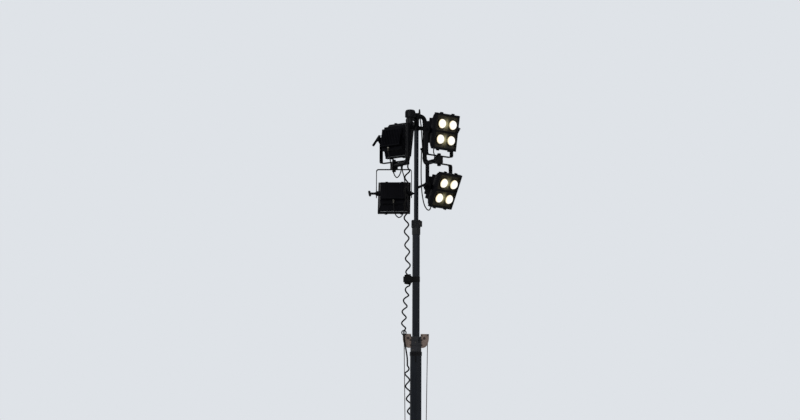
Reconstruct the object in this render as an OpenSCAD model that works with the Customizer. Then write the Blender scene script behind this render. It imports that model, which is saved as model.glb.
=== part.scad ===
// Telescopic floodlight mast: a hexagonal base tube, a hexagonal middle tube and a
// round top tube that slide in each other, with four adjustable lamp heads on two arms.
// Millimetres, +Z up, the origin on the ground at the middle of the base flange.
// The flats of the two hexagonal tubes face +X and -X.

/* [Mast tubes] */
// Height of the base tube's top end above the ground
base_top = 3000; // [2700:10:3100]
// Width of the base tube across its flats
base_af = 115; // [112:1:120]
// Wall of the base tube
base_wall = 5; // [3:0.5:6]
// Width of the middle tube across its flats
mid_af = 75; // [70:1:78]
// Wall of the middle tube
mid_wall = 4; // [3:0.5:5]
// Height of the middle tube's top end when it is run out
mid_top = 4357; // [4300:1:4420]
// Length of the middle tube that stays inside the base tube
mid_overlap = 420; // [300:10:600]
// Outside diameter of the round top tube
top_d = 50; // [44:1:54]
// Wall of the top tube
top_wall = 4; // [3:0.5:6]
// Height of the top tube's upper end when it is run out
top_end = 5559; // [5500:1:5600]
// Length of the top tube that stays inside the middle tube
top_overlap = 260; // [200:10:400]
// Running clearance all round between a tube and its guide
slide_gap = 0.5; // [0.3:0.1:1]
// Height of the guide ring on the foot of each sliding tube
foot_h = 60; // [40:5:80]

/* [Base flange] */
// Side of the square base plate
flange_side = 400; // [360:10:460]
// Thickness of the base plate
flange_t = 20; // [15:1:30]
// Distance between the anchor bolt holes
bolt_spacing = 320; // [300:10:330]
// Diameter of the anchor bolt holes
bolt_hole_d = 22; // [18:1:26]
// Height of the stiffening gussets
gusset_h = 150; // [120:5:200]
// Reach of the gussets from the mast's middle
gusset_reach = 150; // [130:5:160]
// Thickness of the gussets
gusset_t = 8; // [6:1:12]

/* [Base collar and sheaves] */
// Height of the hexagonal guide collar on the base tube
collar_h = 165; // [150:5:180]
// Width of the guide collar across its flats
collar_af = 110; // [108:1:112]
// Height of the two clamp grooves in the collar
groove_h = 6; // [4:1:8]
// Depth of the clamp grooves
groove_depth = 4; // [2:0.5:5]
// Height of the dark clamp band under the collar
band_h = 44; // [36:2:50]
// Thickness of the clamp band
band_t = 4; // [3:0.5:5]
// Length of the latch tongue below the band
tongue_l = 66; // [40:2:80]
// Thickness of the cheek plates
cheek_t = 5; // [4:0.5:6]
// Reach of the cheek plates from the mast's middle
cheek_reach = 142; // [140:1:148]
// Height of the cheek plates
cheek_h = 151; // [140:1:158]
// Gap between a pair of cheek plates
cheek_gap = 22; // [20:1:26]
// Diameter of the hoist rope
rope_d = 9; // [7:0.5:10]
// Radius at which the rope's middle runs round a sheave
sheave_r = 41; // [40:0.5:42]
// Distance of the sheave pins from the mast's middle
sheave_x = 89; // [88:0.5:90]
// Thickness of the sheaves
sheave_t = 16; // [14:1:18]

/* [Middle collar] */
// Height of the hexagonal sleeve on the middle tube's end
sleeve_h = 73; // [60:1:90]
// Wall of the hexagonal sleeve
sleeve_wall = 5; // [4:0.5:6]
// Height of the round clamp above the sleeve
clamp_h = 88; // [70:2:100]
// Diameter of the round clamp
clamp_d = 96; // [90:1:104]
// Number of grip ribs on the clamp
grip_ribs = 11; // [5:2:15]

/* [Head frame] */
// Diameter of the bent arm tubes
arm_d = 48; // [42:1:50]
// Wall of the arm tubes
arm_wall = 4; // [3:0.5:5]
// Distance of the upright part of each arm from the mast's middle
drop_r = 106.6; // [100:0.2:115]
// Compass angle of the right arm's upright part
drop_angle = 20.3; // [10:0.1:30]
// Height above the mast's end of the arm tubes' middle where they leave the mast cap
shoulder_rise = 41; // [31:1:60]
// Bend radius of the shoulders
shoulder_bend = 58; // [45:1:60]
// Bend radius of the elbows
elbow_bend = 60; // [50:1:70]
// Distance of the lamp clamps from the mast's middle
clamp_r = 352.3; // [325:0.1:360]
// Compass angle of the right lamp clamp
clamp_angle = -55.4; // [-60:0.1:-45]
// Height of the lamp clamps' middle below the shoulders
arm_drop = 520; // [500:1:540]
// Side of the clamp block, seen from above
block_w = 64; // [58:1:70]
// Height of the clamp block
block_h = 75; // [70:1:80]
// Diameter of the upright pan bolt
pan_bolt_d = 16; // [12:1:20]
// Diameter of the wing knobs on the pan bolt
knob_d = 34; // [28:1:40]
// Height of the wing knobs
knob_h = 22; // [18:1:28]
// Radius of the black sleeve on the mast's end
sleeve_r = 29; // [27:0.5:32]
// Length of the sleeve
sleeve_l = 121; // [114:1:150]
// Distance of the brace's underside below the mast's end
brace_drop = 112; // [80:1:114]
// Height of the brace between the two arms
brace_h = 42; // [20:1:48]

/* [Photocell and pin] */
// Diameter of the photocell drum
cell_d = 115; // [100:1:118]
// Height of the photocell drum
cell_h = 86; // [70:1:90]
// Height of the drum's underside above the mast's end
cell_rise = 5; // [0:1:20]
// Diameter of the pin on the mast cap
pin_d = 12; // [8:1:14]
// Length of the pin
pin_l = 48; // [30:1:60]

/* [Yokes] */
// Thickness of the yoke's crossbar
yoke_t = 8; // [6:0.5:9]
// Thickness of the yoke's legs
leg_t = 7; // [5:0.5:8]
// Width of the flat bar
yoke_w = 50; // [44:1:56]
// Distance from the clamp block's face to the tilt pivots
yoke_h = 272; // [268:1:285]
// Clear width between the yoke's legs
yoke_inside = 382; // [381:0.5:390]
// Radius of the quadrant plates round the pivots
quadrant_r = 52; // [46:1:56]
// Running gap between the yoke and the clamp block
seat_gap = 0.3; // [0.2:0.1:0.5]

/* [Lamp heads] */
// Width of the front frame
front_w = 360; // [350:1:364]
// Height of the front frame
front_h = 394; // [380:1:396]
// Depth of the front frame
front_t = 38; // [34:1:44]
// Thickness of the front frame's folded sheet
front_sheet = 4; // [3:0.5:5]
// Distance of the reflector tray behind the front face
tray_deep = 18; // [14:1:22]
// Distance from the pivots to the front face
front_x = 116; // [112:1:122]
// Distance from the pivots to the back of the housing
back_x = 62; // [56:1:66]
// Height of the gear box at the housing's back
gear_h = 200; // [180:2:210]
// Width of the gear box
gear_w = 280; // [260:2:290]
// Rise of the housing's middle above and below the gear box
step_rise = 36; // [30:1:40]
// How far the housing's middle stands out on each side of the gear box
step_side = 10; // [6:1:14]
// How far the housing's rim stays inside the front frame, above and below
rim_inset_h = 18; // [14:1:22]
// How far the housing's rim stays inside the front frame on each side
rim_inset_w = 13; // [8:1:16]
// Depth of the housing's rim
rim_l = 18; // [12:1:24]
// Wall of the cast housing
housing_wall = 4; // [3:0.5:5]
// Diameter of a lamp
lamp_d = 104; // [96:1:118]
// Rise of a lamp's domed glass
lamp_dome = 38; // [10:1:44]
// Distance between the lamps across the head
lamp_pitch_w = 166; // [160:1:172]
// Distance between the lamps down the head
lamp_pitch_h = 170; // [166:1:180]
// Thickness of the cooling ribs
rib_t = 4; // [3:0.5:5]
// Height of the cooling ribs above the housing's back
rib_h = 6; // [4:0.5:7]
// Distance between the cooling ribs
rib_pitch = 24; // [20:1:28]
// Distance of the ribs from the gear box's edges
rib_margin = 16; // [10:1:20]
// Length of the cone nut opposite the T handle
nut_l = 26; // [20:1:30]
// Radius of the cone nut at its seat
nut_seat_r = 20; // [16:1:24]
// Radius of the cone nut at its tip
nut_tip_r = 7; // [5:1:10]
// How far a pivot reaches past each face of the yoke's leg
pivot_over = 2; // [1:0.5:3]
// Radius of the glands under the heads
gland_r = 11; // [9:0.5:13]
// Diameter of the pivot bosses
boss_d = 56; // [48:1:60]
// Diameter of the tilt pivots
pivot_d = 20; // [16:1:22]
// Length of the T handle's shaft outside the yoke
handle_l = 72; // [60:1:74]
// Length of the T handle's bar
handle_bar = 160; // [120:5:164]
// Diameter of the T handle's bar
handle_d = 27; // [16:0.5:28]
// Diameter of the T handle's shaft
handle_shaft_d = 26; // [18:1:28]

/* [Winch and junction box] */
// Height of the winch drum's axis
winch_z = 1000; // [900:10:1100]
// Distance of the drum's axis from the mast's middle
winch_x = 133; // [130:1:140]
// Radius of the bare winch drum
drum_r = 26; // [22:1:28]
// Radius of the drum's end flanges
drum_flange_r = 54; // [48:1:58]
// Width between the drum's end flanges
drum_w = 60; // [50:1:70]
// Length of the crank arm
crank_l = 210; // [160:5:240]
// Height of the rope anchor's eye bolt
anchor_z = 980; // [900:10:1100]
// Width of the junction box
box_w = 160; // [140:5:200]
// Depth of the junction box
box_d = 80; // [70:5:90]
// Height of the junction box
box_h = 210; // [180:5:240]
// Height of the junction box's underside
box_z = 930; // [900:10:1000]

/* [Cords] */
// Diameter of the lamp cables
cable_d = 9; // [7:0.5:10]
// Diameter of the curly cord itself
cord_d = 13; // [9:0.5:14]
// Outside diameter of the curly cord's turns
curl_d = 60; // [54:1:60]
// Diameter of the tied bundle of cord
bundle_d = 98; // [90:1:100]
// Height of the tied bundle
bundle_h = 100; // [90:1:110]
// Height of the bundle's middle
bundle_z = 3791; // [3780:1:3800]
// Height of the strap round the bundle
strap_h = 60; // [40:2:70]
// Thickness of the strap
strap_t = 2.5; // [2:0.5:3]

/* [Hidden] */
$fn = 64;
SIDES = ["upper_left", "lower_left", "upper_right", "lower_right"];
// For each head: compass angle that it faces, downward tilt, side of its T handle
// (+1 is its own left), turn of the T handle's bar
PAN = [38, 78, -55, -51];
TILT = [8.5, 25, 9, 23.5];
HANDLE_SIDE = [1, 1, 1, -1];
HANDLE_TURN = [-122, 18, 61, -142];
GLAND_Y = [35, 0, 0, 0];
// Where the photocell stands, seen from above
CELL_AT = [-91, -126];

base_flat = base_af / 2;
mid_flat = mid_af / 2;
collar_top = base_top + collar_h;
collar_flat = collar_af / 2;
cheek_top = collar_top + 30;
cheek_bottom = cheek_top - cheek_h;
cheek_y = cheek_gap / 2;
sheave_z = collar_top - 17;
pocket_x = sheave_x - sheave_r - rope_d / 2 - 1;
pocket_z = sheave_z - sheave_r - 20;
clamp_top = mid_top + clamp_h;
drop_x = drop_r * cos(drop_angle);
drop_y = drop_r * sin(drop_angle);
clamp_x = clamp_r * cos(clamp_angle);
clamp_y = clamp_r * sin(clamp_angle);
shoulder_z = top_end + shoulder_rise;
clamp_z = shoulder_z - arm_drop;
sleeve_low = top_end - sleeve_l;
brace_z = top_end - brace_drop;
cell_z = top_end + cell_rise;
arm_run = norm([clamp_x - drop_x, clamp_y - drop_y]);
arm_angle = atan2(clamp_y - drop_y, clamp_x - drop_x);
block_top = clamp_z + block_h / 2;
block_bottom = clamp_z - block_h / 2;
leg_inner = yoke_inside / 2;
leg_outer = leg_inner + leg_t;
frame_back = front_x - front_t;
step_h = gear_h + 2 * step_rise;
step_w = gear_w + 2 * step_side;
ribs_each_side = floor((gear_w / 2 - rib_margin) / rib_pitch);
layer_r = drum_r + 1.5 * rope_d;
shaft_end = drum_w / 2 + 60;
cell_neck_r = 30;
cell_angle = atan2(CELL_AT[1], CELL_AT[0]);
gland_l = 12;
gland_x = -40;
gland_out = 24;
cable_face = arm_d / 2 + gland_l + seat_gap;
clip_z = clamp_z + 148;
rope_foot_x = winch_x - layer_r + rope_d / 2 + 1.5;
eye_h = 45;
bundle_x = -(mid_flat + strap_t + seat_gap + 1 + bundle_d / 2);

// Points on the right arm's run (side 1) or the left arm's (side -1), and from a head's pivot axis
function arm_point(side, run, z) = [side * (drop_x + run * cos(arm_angle)),
    side * (drop_y + run * sin(arm_angle)), z];
function pivot(i) = let (side = i < 2 ? -1 : 1, up = i % 2 == 0 ? 1 : -1)
    [side * clamp_x, side * clamp_y, clamp_z + up * (block_h / 2 + yoke_h)];
function head_point(i, p) =
    let (x = p[0] * cos(TILT[i]) + p[2] * sin(TILT[i]), z = p[2] * cos(TILT[i]) - p[0] * sin(TILT[i]))
    pivot(i) + [x * cos(PAN[i]) - p[1] * sin(PAN[i]), x * sin(PAN[i]) + p[1] * cos(PAN[i]), z];

// Three points in line where a cable leaves an arm's gland, and where it enters a head's gland, so
// that its ends are square
function from_arm(side, run, up) = [for (d = [0, 10, 22])
    arm_point(side, run, clamp_z + up * (cable_face + d))];
function by_clamp(points) = [for (p = points) p + [0, 0, clamp_z]];
function to_head(i) = [for (d = [22, 10, 0]) head_point(i, [gland_x, GLAND_Y[i], -gear_h / 2 - gland_out - seat_gap - d])];

// Routes of the cords, from where each is held to where it goes in
UPPER_CORD = [[-100, -37, 5055.7], [-100, -37, 5040], [-100, -37, 5022], [-110, -38, 4920],
    [-117, -36, 4720], [-115, -32, 4480], [-108, -24, 4240], [-98, -14, 4050], [-90, -5, 3930],
    [-90, -5, 3884], [-90, -5, 3841.3]];
MIDDLE_CORD = [[-90, -5, 3740.7], [-90, -5, 3725], [-90, -5, 3709], [-98, -14, 3668], [-112, -26, 3600],
    [-128, -36, 3500], [-138, -39, 3390], [-140, -39, 3300], [-139, -39, 3234]];
LOWER_CORD = [[-139, -39, 3176], [-132, -43, 3110], [-116, -40, 3020], [-99, -22, 2935],
    [-90, 18, 2865], [-86, 58, 2800], [-82, 74, 2740], [-76, 80, 2640], [-62, 88, 2480],
    [-44, 95, 2300], [-22, 101, 2050], [-6, 105, 1800], [0, 106, 1500], [0, 106, 1192]];
CABLE_UPPER_LEFT = concat(from_arm(-1, 163, -1), by_clamp([[-152, 131, -90], [-166, 148, -126],
    [-188, 168, -146], [-210, 188, -118], [-230, 208, -50], [-247, 222, 20], [-257, 238, 80],
    [-265, 262, 130]]), to_head(0));
CABLE_LOWER_LEFT = concat(from_arm(-1, 139, -1), by_clamp([[-134, 106, -90], [-112, 130, -150],
    [-97, 143, -260], [-97, 146, -420], [-110, 151, -520], [-134, 157, -572], [-166, 164, -590],
    [-196, 171, -566], [-212, 178, -524], [-219, 186, -476]]), to_head(1));
CABLE_UPPER_RIGHT = concat(from_arm(1, 238, 1), by_clamp([[164, -186, 78], [158, -190, 102],
    [157, -206, 130], [160, -226, 154]]), to_head(2));
CABLE_LOWER_RIGHT = concat(by_clamp([[63, 24, 148], [63, 24, 138], [63, 24, 126], [58, 8, 70],
    [48, -34, -50], [40, -84, -190], [38, -140, -340], [50, -196, -470], [74, -228, -535],
    [102, -236, -548], [124, -224, -510], [134, -214, -468]]), to_head(3));
MAST_CABLE = by_clamp([[44, 14, 491], [49, 3, 440], [54, 0, 400], [59, 5, 340], [66, 18, 260],
    [72, 25, 195], [73, 26, 155], [78, 16, 105], [94, -5, 60], [110, -22, 36], [119, -32, 29]]);

// Point on a smooth curve through four neighbouring points
function curve(a, b, c, d, t) = 0.5 * (2 * b + (c - a) * t + (2 * a - 5 * b + 4 * c - d) * t * t
    + (3 * b - a - 3 * c + d) * t * t * t);
function smooth(p, n) = [for (i = [0:len(p) - 2], k = [0:n - 1])
    curve(p[max(i - 1, 0)], p[i], p[i + 1], p[min(i + 2, len(p) - 1)], k / n), p[len(p) - 1]];
function unit(v) = v / norm(v);
function along(p, i) = unit(p[min(i + 1, len(p) - 1)] - p[max(i - 1, 0)]);
function ring(p, i, r, up, sides) = let (t = along(p, i), u = unit(cross(t, up)), v = cross(t, u))
    [for (k = [0:sides - 1]) p[i] + r * (cos(360 * k / sides) * u + sin(360 * k / sides) * v)];

// Tube along points p, with radius r[i] at each; up is any direction that the tube never takes
module sweep(p, r, up, sides = 8) {
    n = len(p);
    rings = [for (i = [0:n - 1]) each ring(p, i, r[i], up, sides)];
    walls = [for (i = [0:n - 2], k = [0:sides - 1])
        [i * sides + k, (i + 1) * sides + k, (i + 1) * sides + (k + 1) % sides,
        i * sides + (k + 1) % sides]];
    first = [for (k = [0:sides - 1]) k];
    last = [for (k = [sides - 1:-1:0]) (n - 1) * sides + k];
    polyhedron(rings, concat(walls, [first, last]), convexity = 6);
}

module cord(points, d, up, n = 2) {
    p = smooth(points, n);
    sweep(p, [for (q = p) d / 2], up);
}

module hexagon(af, h) {
    rotate([0, 0, 30]) cylinder(h = h, r = af / sqrt(3), $fn = 6);
}

module hex_tube(af, wall, h) {
    difference() {
        hexagon(af, h);
        translate([0, 0, -1]) hexagon(af - 2 * wall, h + 2);
    }
}

module both_sides() {
    children();
    rotate([0, 0, 180]) children();
}

// Bar with a round rod's section along Y, centred on y = 0
module rod_y(r, l) {
    rotate([90, 0, 0]) cylinder(h = l, r = r, center = true);
}

module base_flange() {
    color("slategray") {
        difference() {
            translate([-flange_side / 2, -flange_side / 2, 0]) cube([flange_side, flange_side, flange_t]);
            for (x = [-1, 1], y = [-1, 1])
                translate([x * bolt_spacing / 2, y * bolt_spacing / 2, -1])
                    cylinder(h = flange_t + 2, d = bolt_hole_d);
        }
        for (a = [0:60:300])
            rotate([0, 0, a]) translate([0, gusset_t / 2, flange_t]) rotate([90, 0, 0])
                linear_extrude(gusset_t)
                    polygon([[base_flat, 0], [gusset_reach, 0], [gusset_reach, 15],
                        [base_flat + 12, gusset_h], [base_flat, gusset_h]]);
    }
}

module base_tube() {
    color("lightslategray")
        translate([0, 0, flange_t]) hex_tube(base_af, base_wall, base_top - flange_t);
}

module base_collar() {
    slot_w = 14;
    slot_h = 56;
    color("silver")
        difference() {
            translate([0, 0, base_top]) hexagon(collar_af, collar_h);
            translate([0, 0, base_top - 1]) hexagon(mid_af + 2 * slide_gap, collar_h + 2);
            for (z = [0.37, 0.72])
                translate([0, 0, base_top + z * collar_h])
                    difference() {
                        hexagon(collar_af + 2, groove_h);
                        translate([0, 0, -1]) hexagon(collar_af - 2 * groove_depth, groove_h + 2);
                    }
            // Inspection slot in the front right face
            rotate([0, 0, -60])
                translate([mid_flat, -slot_w / 2, collar_top - slot_h - 12]) cube([40, slot_w, slot_h]);
            // Pockets that the sheaves reach into
            both_sides()
                translate([pocket_x, -cheek_y, pocket_z]) cube([40, cheek_gap, 200]);
        }
}

module clamp_band() {
    color("dimgray") {
        translate([0, 0, base_top - band_h])
            difference() {
                hexagon(base_af + 2 * band_t, band_h);
                translate([0, 0, -1]) hexagon(base_af, band_h + 2);
            }
        rotate([0, 0, -120])
            translate([base_flat, 12, base_top - band_h - tongue_l]) cube([band_t, 14, tongue_l]);
    }
}

// Outline of a cheek plate: square above, rounded in towards its foot
module cheek_outline() {
    straight = 40;
    toe = cheek_reach - 62;
    polygon(concat([[collar_flat, cheek_bottom], [collar_flat, cheek_top], [cheek_reach, cheek_top]],
        [for (t = [0:10:90]) [toe + (cheek_reach - toe) * cos(t),
            cheek_top - straight - (cheek_h - straight) * sin(t)]]));
}

module cheek_plates() {
    pin_z = cheek_top - 10;
    pin_x = cheek_reach - 12;
    color("thistle")
        both_sides() {
            for (y = [-1, 1])
                difference() {
                    translate([0, y * (cheek_y + cheek_t / 2) + cheek_t / 2, 0]) rotate([90, 0, 0])
                        linear_extrude(cheek_t) cheek_outline();
                    translate([sheave_x, 0, sheave_z]) rod_y(8.2, 200);
                    translate([pin_x, 0, pin_z]) rod_y(5.2, 200);
                }
        }
}

// The two rope sheaves on their headed pins, and the keeper pins at the outer corners
module sheaves() {
    groove_r = sheave_r - rope_d / 2;
    pin_l = cheek_gap + 2 * cheek_t;
    color("saddlebrown")
        both_sides() {
            translate([sheave_x, 0, sheave_z]) {
                difference() {
                    rod_y(groove_r + rope_d - 1, sheave_t);
                    rotate([90, 0, 0]) rotate_extrude() {
                        translate([sheave_r, 0]) circle(d = rope_d + 0.6);
                        translate([sheave_r, -rope_d / 2 - 0.3]) square([rope_d, rope_d + 0.6]);
                    }
                }
                rod_y(8, pin_l);
                for (y = [-1, 1]) translate([0, y * (pin_l / 2 + 3), 0]) rod_y(14, 6);
            }
            translate([cheek_reach - 12, 0, cheek_top - 10]) {
                rod_y(5, pin_l);
                for (y = [-1, 1]) translate([0, y * (pin_l / 2 + 2), 0]) rod_y(9, 4);
            }
        }
}

// Rope outside the mast on one side: straight run, half turn over the sheave, short drop
module rope_run(foot_x, foot_z) {
    drop = sheave_z - foot_z;
    lean = foot_x - sheave_x;
    touch = acos(sheave_r / norm([lean, drop])) - atan2(drop, lean);
    over = [for (k = [0:18]) let (a = touch + (180 - touch) * k / 18)
        [sheave_x + sheave_r * cos(a), 0, sheave_z + sheave_r * sin(a)]];
    p = concat([[foot_x, 0, foot_z]], over, [[sheave_x - sheave_r, 0, pocket_z + seat_gap]]);
    sweep(p, [for (q = p) rope_d / 2], [0, 1, 0], 12);
}

module hoist_rope() {
    color("sienna") {
        rope_run(rope_foot_x, winch_z);
        translate([winch_x, 0, winch_z])
            difference() {
                rod_y(layer_r, drum_w - 1);
                rod_y(drum_r, drum_w + 2);
            }
        mirror([1, 0, 0]) rope_run(rope_foot_x, anchor_z + eye_h + seat_gap);
    }
}

module winch_frame() {
    side_y = drum_w / 2 + 14;
    color("darkgray") {
        translate([base_flat, -side_y - 6, winch_z - 110]) cube([6, 2 * side_y + 12, 220]);
        for (y = [-1, 1])
            translate([0, y * (side_y + 3), winch_z])
                difference() {
                    union() {
                        translate([winch_x, 0, 0]) rod_y(30, 6);
                        translate([base_flat + 6, -3, -95])
                            cube([24, 6, 190]);
                        translate([0, 3, 0]) rotate([90, 0, 0]) linear_extrude(6)
                            polygon([[base_flat + 30, -95], [winch_x + 20, -22], [winch_x + 20, 22],
                                [base_flat + 30, 95]]);
                    }
                    translate([winch_x, 0, 0]) rod_y(10.3, 20);
                }
    }
}

module winch_drum() {
    color("gray")
        translate([winch_x, 0, winch_z]) {
            rod_y(drum_r, drum_w);
            for (y = [-1, 1]) translate([0, y * (drum_w / 2 + 4), 0]) rod_y(drum_flange_r, 8);
            translate([0, 30, 0]) rod_y(10, 60);
            translate([0, -shaft_end / 2, 0]) rod_y(10, shaft_end);
        }
}

module winch_crank() {
    crank_t = 12;
    grip_l = 110;
    color("darkslategray")
        translate([winch_x, -shaft_end - crank_t / 2, winch_z]) rotate([0, 25, 0]) {
            rod_y(20, crank_t);
            translate([-9, -crank_t / 2, -crank_l]) cube([18, crank_t, crank_l]);
            translate([0, 0, -crank_l]) rod_y(14, crank_t);
            translate([0, -grip_l / 2, -crank_l]) rod_y(14, grip_l);
        }
}

module rope_anchor() {
    color("darkgray")
        mirror([1, 0, 0]) {
            translate([base_flat, -30, anchor_z - 130]) cube([8, 60, 100]);
            translate([base_flat + 8, -6, anchor_z - 100])
                cube([rope_foot_x - base_flat + 10, 12, 40]);
            translate([rope_foot_x, 0, anchor_z - 60]) cylinder(h = 60, d = 14);
            translate([rope_foot_x, 0, anchor_z]) cylinder(h = eye_h, d = 22);
        }
}

module junction_box() {
    box_y = base_flat + 22;
    color("dimgray") {
        difference() {
            translate([-box_w / 2, box_y, box_z]) cube([box_w, box_d, box_h]);
            translate([-box_w / 2 + 3, box_y + 3, box_z + 3])
                cube([box_w - 6, box_d - 6, box_h - 6]);
        }
        difference() {
            translate([-40, 30, box_z + 40]) cube([80, box_y - 30, box_h - 80]);
            translate([0, 0, box_z]) hexagon(base_af, box_h);
        }
        translate([0, 106, box_z + box_h - 1]) cylinder(h = 52.7, d = 30);
        translate([-50, 116, box_z - 22]) cylinder(h = 23, d = 26);
        translate([50, 116, box_z - 22]) cylinder(h = 23, d = 26);
    }
}

// Ring at the left cheek plate's corner that carries the curly cord
module cord_hook() {
    y = -(cheek_y + cheek_t);
    color("saddlebrown")
        translate([-cheek_reach + 12, y - 4, cheek_top - 10]) {
            translate([0, -11, 0]) rod_y(6, 22);
            translate([-9, -19, 20]) rotate([90, 0, 0])
                rotate_extrude() translate([24, 0]) circle(d = 9);
        }
}

module middle_tube() {
    foot = base_top - mid_overlap;
    guide_af = base_af - 2 * base_wall - 2 * slide_gap;
    color("lightsteelblue") {
        translate([0, 0, foot]) hex_tube(mid_af, mid_wall, mid_top - foot);
        translate([0, 0, foot])
            difference() {
                hexagon(guide_af, foot_h);
                translate([0, 0, -1]) hexagon(mid_af - 1, foot_h + 2);
            }
    }
}

module middle_collar() {
    ear_l = 22;
    color("slategray")
        difference() {
            union() {
                translate([0, 0, mid_top - sleeve_h])
                    hex_tube(mid_af + 2 * sleeve_wall, sleeve_wall, sleeve_h);
                translate([0, 0, mid_top]) cylinder(h = clamp_h, d = clamp_d);
                for (i = [0:grip_ribs - 1])
                    rotate([0, 0, 100 + 160 * i / (grip_ribs - 1)])
                        translate([clamp_d / 2, 0, mid_top + 6]) cylinder(h = clamp_h - 12, r = 5);
                // Ears of the split clamp, at the front right
                rotate([0, 0, -40])
                    translate([clamp_d / 2 - 10, -14, mid_top + 12]) cube([ear_l + 8, 28, clamp_h - 24]);
                // Bolt heads in the sleeve's front faces
                rotate([0, 0, -60]) translate([mid_flat + sleeve_wall, -12, mid_top - 16])
                    rotate([0, 90, 0]) cylinder(h = 4, r = 6);
                rotate([0, 0, -120]) translate([mid_flat + sleeve_wall, 2, mid_top - 54])
                    rotate([0, 90, 0]) cylinder(h = 4, r = 6);
            }
            translate([0, 0, mid_top - 1]) cylinder(h = clamp_h + 2, d = top_d + 2 * slide_gap);
            // Split between the ears
            rotate([0, 0, -40]) translate([top_d / 2, -3, mid_top + 8]) cube([80, 6, clamp_h]);
            rotate([0, 0, -40]) translate([clamp_d / 2 + 6, 0, mid_top + clamp_h / 2]) rod_y(5, 60);
        }
}

module cord_bundle() {
    r = bundle_d / 2;
    h = bundle_h / 2;
    color("black")
        translate([bundle_x, -5, bundle_z]) rotate_extrude()
            polygon([[0, -h], [r - 14, -h], [r, -h + 18], [r, h - 18], [r - 14, h], [0, h]]);
}

// Strap round the tube and the bundle, sewn together in between
module bundle_strap() {
    sewn_w = 34;
    color("black")
        translate([0, 0, bundle_z - strap_h / 2]) {
            difference() {
                union() {
                    hexagon(mid_af + 2 * strap_t, strap_h);
                    translate([bundle_x, -5, 0]) cylinder(h = strap_h, r = bundle_d / 2 + seat_gap + strap_t);
                    translate([-mid_flat - 9, -5 - sewn_w / 2, 0]) cube([8, sewn_w, strap_h]);
                }
                translate([0, 0, -1]) hexagon(mid_af, strap_h + 2);
                translate([bundle_x, -5, -1]) cylinder(h = strap_h + 2, r = bundle_d / 2 + seat_gap);
            }
        }
}

module upper_cord() {
    color("black") cord(UPPER_CORD, curl_d, [1, 0.2, 0]);
}

module middle_cord() {
    color("black") cord(MIDDLE_CORD, curl_d, [0, 1, 0]);
}

module lower_cord() {
    straight = 10;
    p = smooth(LOWER_CORD, 2);
    color("black")
        sweep(p, [for (i = [0:len(p) - 1]) i < straight ? cord_d / 2 : curl_d / 2], [1, 0, 0]);
}

module top_tube() {
    foot = clamp_top - top_overlap;
    guide_d = mid_af - 2 * mid_wall - 2 * slide_gap;
    color("lightsteelblue")
        difference() {
            union() {
                translate([0, 0, foot]) cylinder(h = top_end - foot, d = top_d);
                translate([0, 0, foot]) cylinder(h = foot_h, d = guide_d);
            }
            translate([0, 0, foot - 1]) cylinder(h = top_end - foot + 2, d = top_d - 2 * top_wall);
        }
}

// Cap on the top tube with a socket for each arm, and under it the sleeve that carries the brace
module mast_cap() {
    socket_l = drop_r - shoulder_bend;
    color("darkslategray") {
        translate([0, 0, top_end]) cylinder(h = shoulder_z + 31 - top_end, r = 31);
        translate([0, 0, top_end - 40]) cylinder(h = 41, r = top_d / 2 - top_wall);
        for (a = [0, 180])
            rotate([0, 0, drop_angle + a]) translate([0, 0, shoulder_z]) rotate([0, 90, 0])
                cylinder(h = socket_l, r = arm_d / 2 + 4);
        difference() {
            union() {
                translate([0, 0, sleeve_low]) cylinder(h = top_end - sleeve_low + 1, r = sleeve_r);
                translate([0, 0, brace_z]) cylinder(h = brace_h, r = sleeve_r + 5);
                rotate([0, 0, drop_angle])
                    translate([-drop_r + arm_d / 2, -9, brace_z])
                        cube([2 * drop_r - arm_d, 18, brace_h]);
                // Bracket of the photocell
                rotate([0, 0, cell_angle])
                    translate([sleeve_r - 3, -13, cell_z - 26])
                        cube([norm(CELL_AT) - sleeve_r + 3 - cell_neck_r - seat_gap, 26, 14]);
            }
            translate([0, 0, sleeve_low - 1]) cylinder(h = top_end - sleeve_low + 1, d = top_d);
        }
        // Boss under the pin
        rotate([0, 0, drop_angle]) translate([39, 0, shoulder_z]) cylinder(h = arm_d / 2 + 8, r = 9);
    }
}

// One bent arm for the right side: a solid rod of radius r, with a thicker length of radius joint_r
// at each end of the upright part
module arm_rod(r, joint_r, joint_h) {
    upright_low = clamp_z + elbow_bend;
    upright_top = shoulder_z - shoulder_bend;
    rotate([0, 0, drop_angle])
        translate([drop_r - shoulder_bend, 0, upright_top])
            rotate([90, 0, 0]) rotate_extrude(angle = 90) translate([shoulder_bend, 0]) circle(r = r);
    translate([drop_x, drop_y, 0]) {
        translate([0, 0, upright_low]) cylinder(h = upright_top - upright_low, r = r);
        for (z = [upright_low, upright_top])
            translate([0, 0, z - joint_h / 2]) cylinder(h = joint_h, r = joint_r);
    }
    translate([drop_x, drop_y, clamp_z]) rotate([0, 0, arm_angle]) {
        translate([elbow_bend, 0, elbow_bend]) rotate([90, 0, 0])
            rotate([0, 0, 180]) rotate_extrude(angle = 90) translate([elbow_bend, 0]) circle(r = r);
        translate([elbow_bend, 0, 0]) rotate([0, 90, 0])
            cylinder(h = arm_run - elbow_bend - block_w / 2, r = r);
        translate([elbow_bend - joint_h / 2, 0, 0]) rotate([0, 90, 0]) cylinder(h = joint_h, r = joint_r);
    }
}

// Block on an arm's upright that clips the cables to it
module cable_clip() {
    rotate([0, 0, drop_angle]) difference() {
        translate([drop_r - 50, -11, clip_z + seat_gap]) cube([30, 22, 20]);
        translate([drop_r - 29, 0, clip_z - 1]) cylinder(h = 30, d = cable_d + 3);
    }
}

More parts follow.
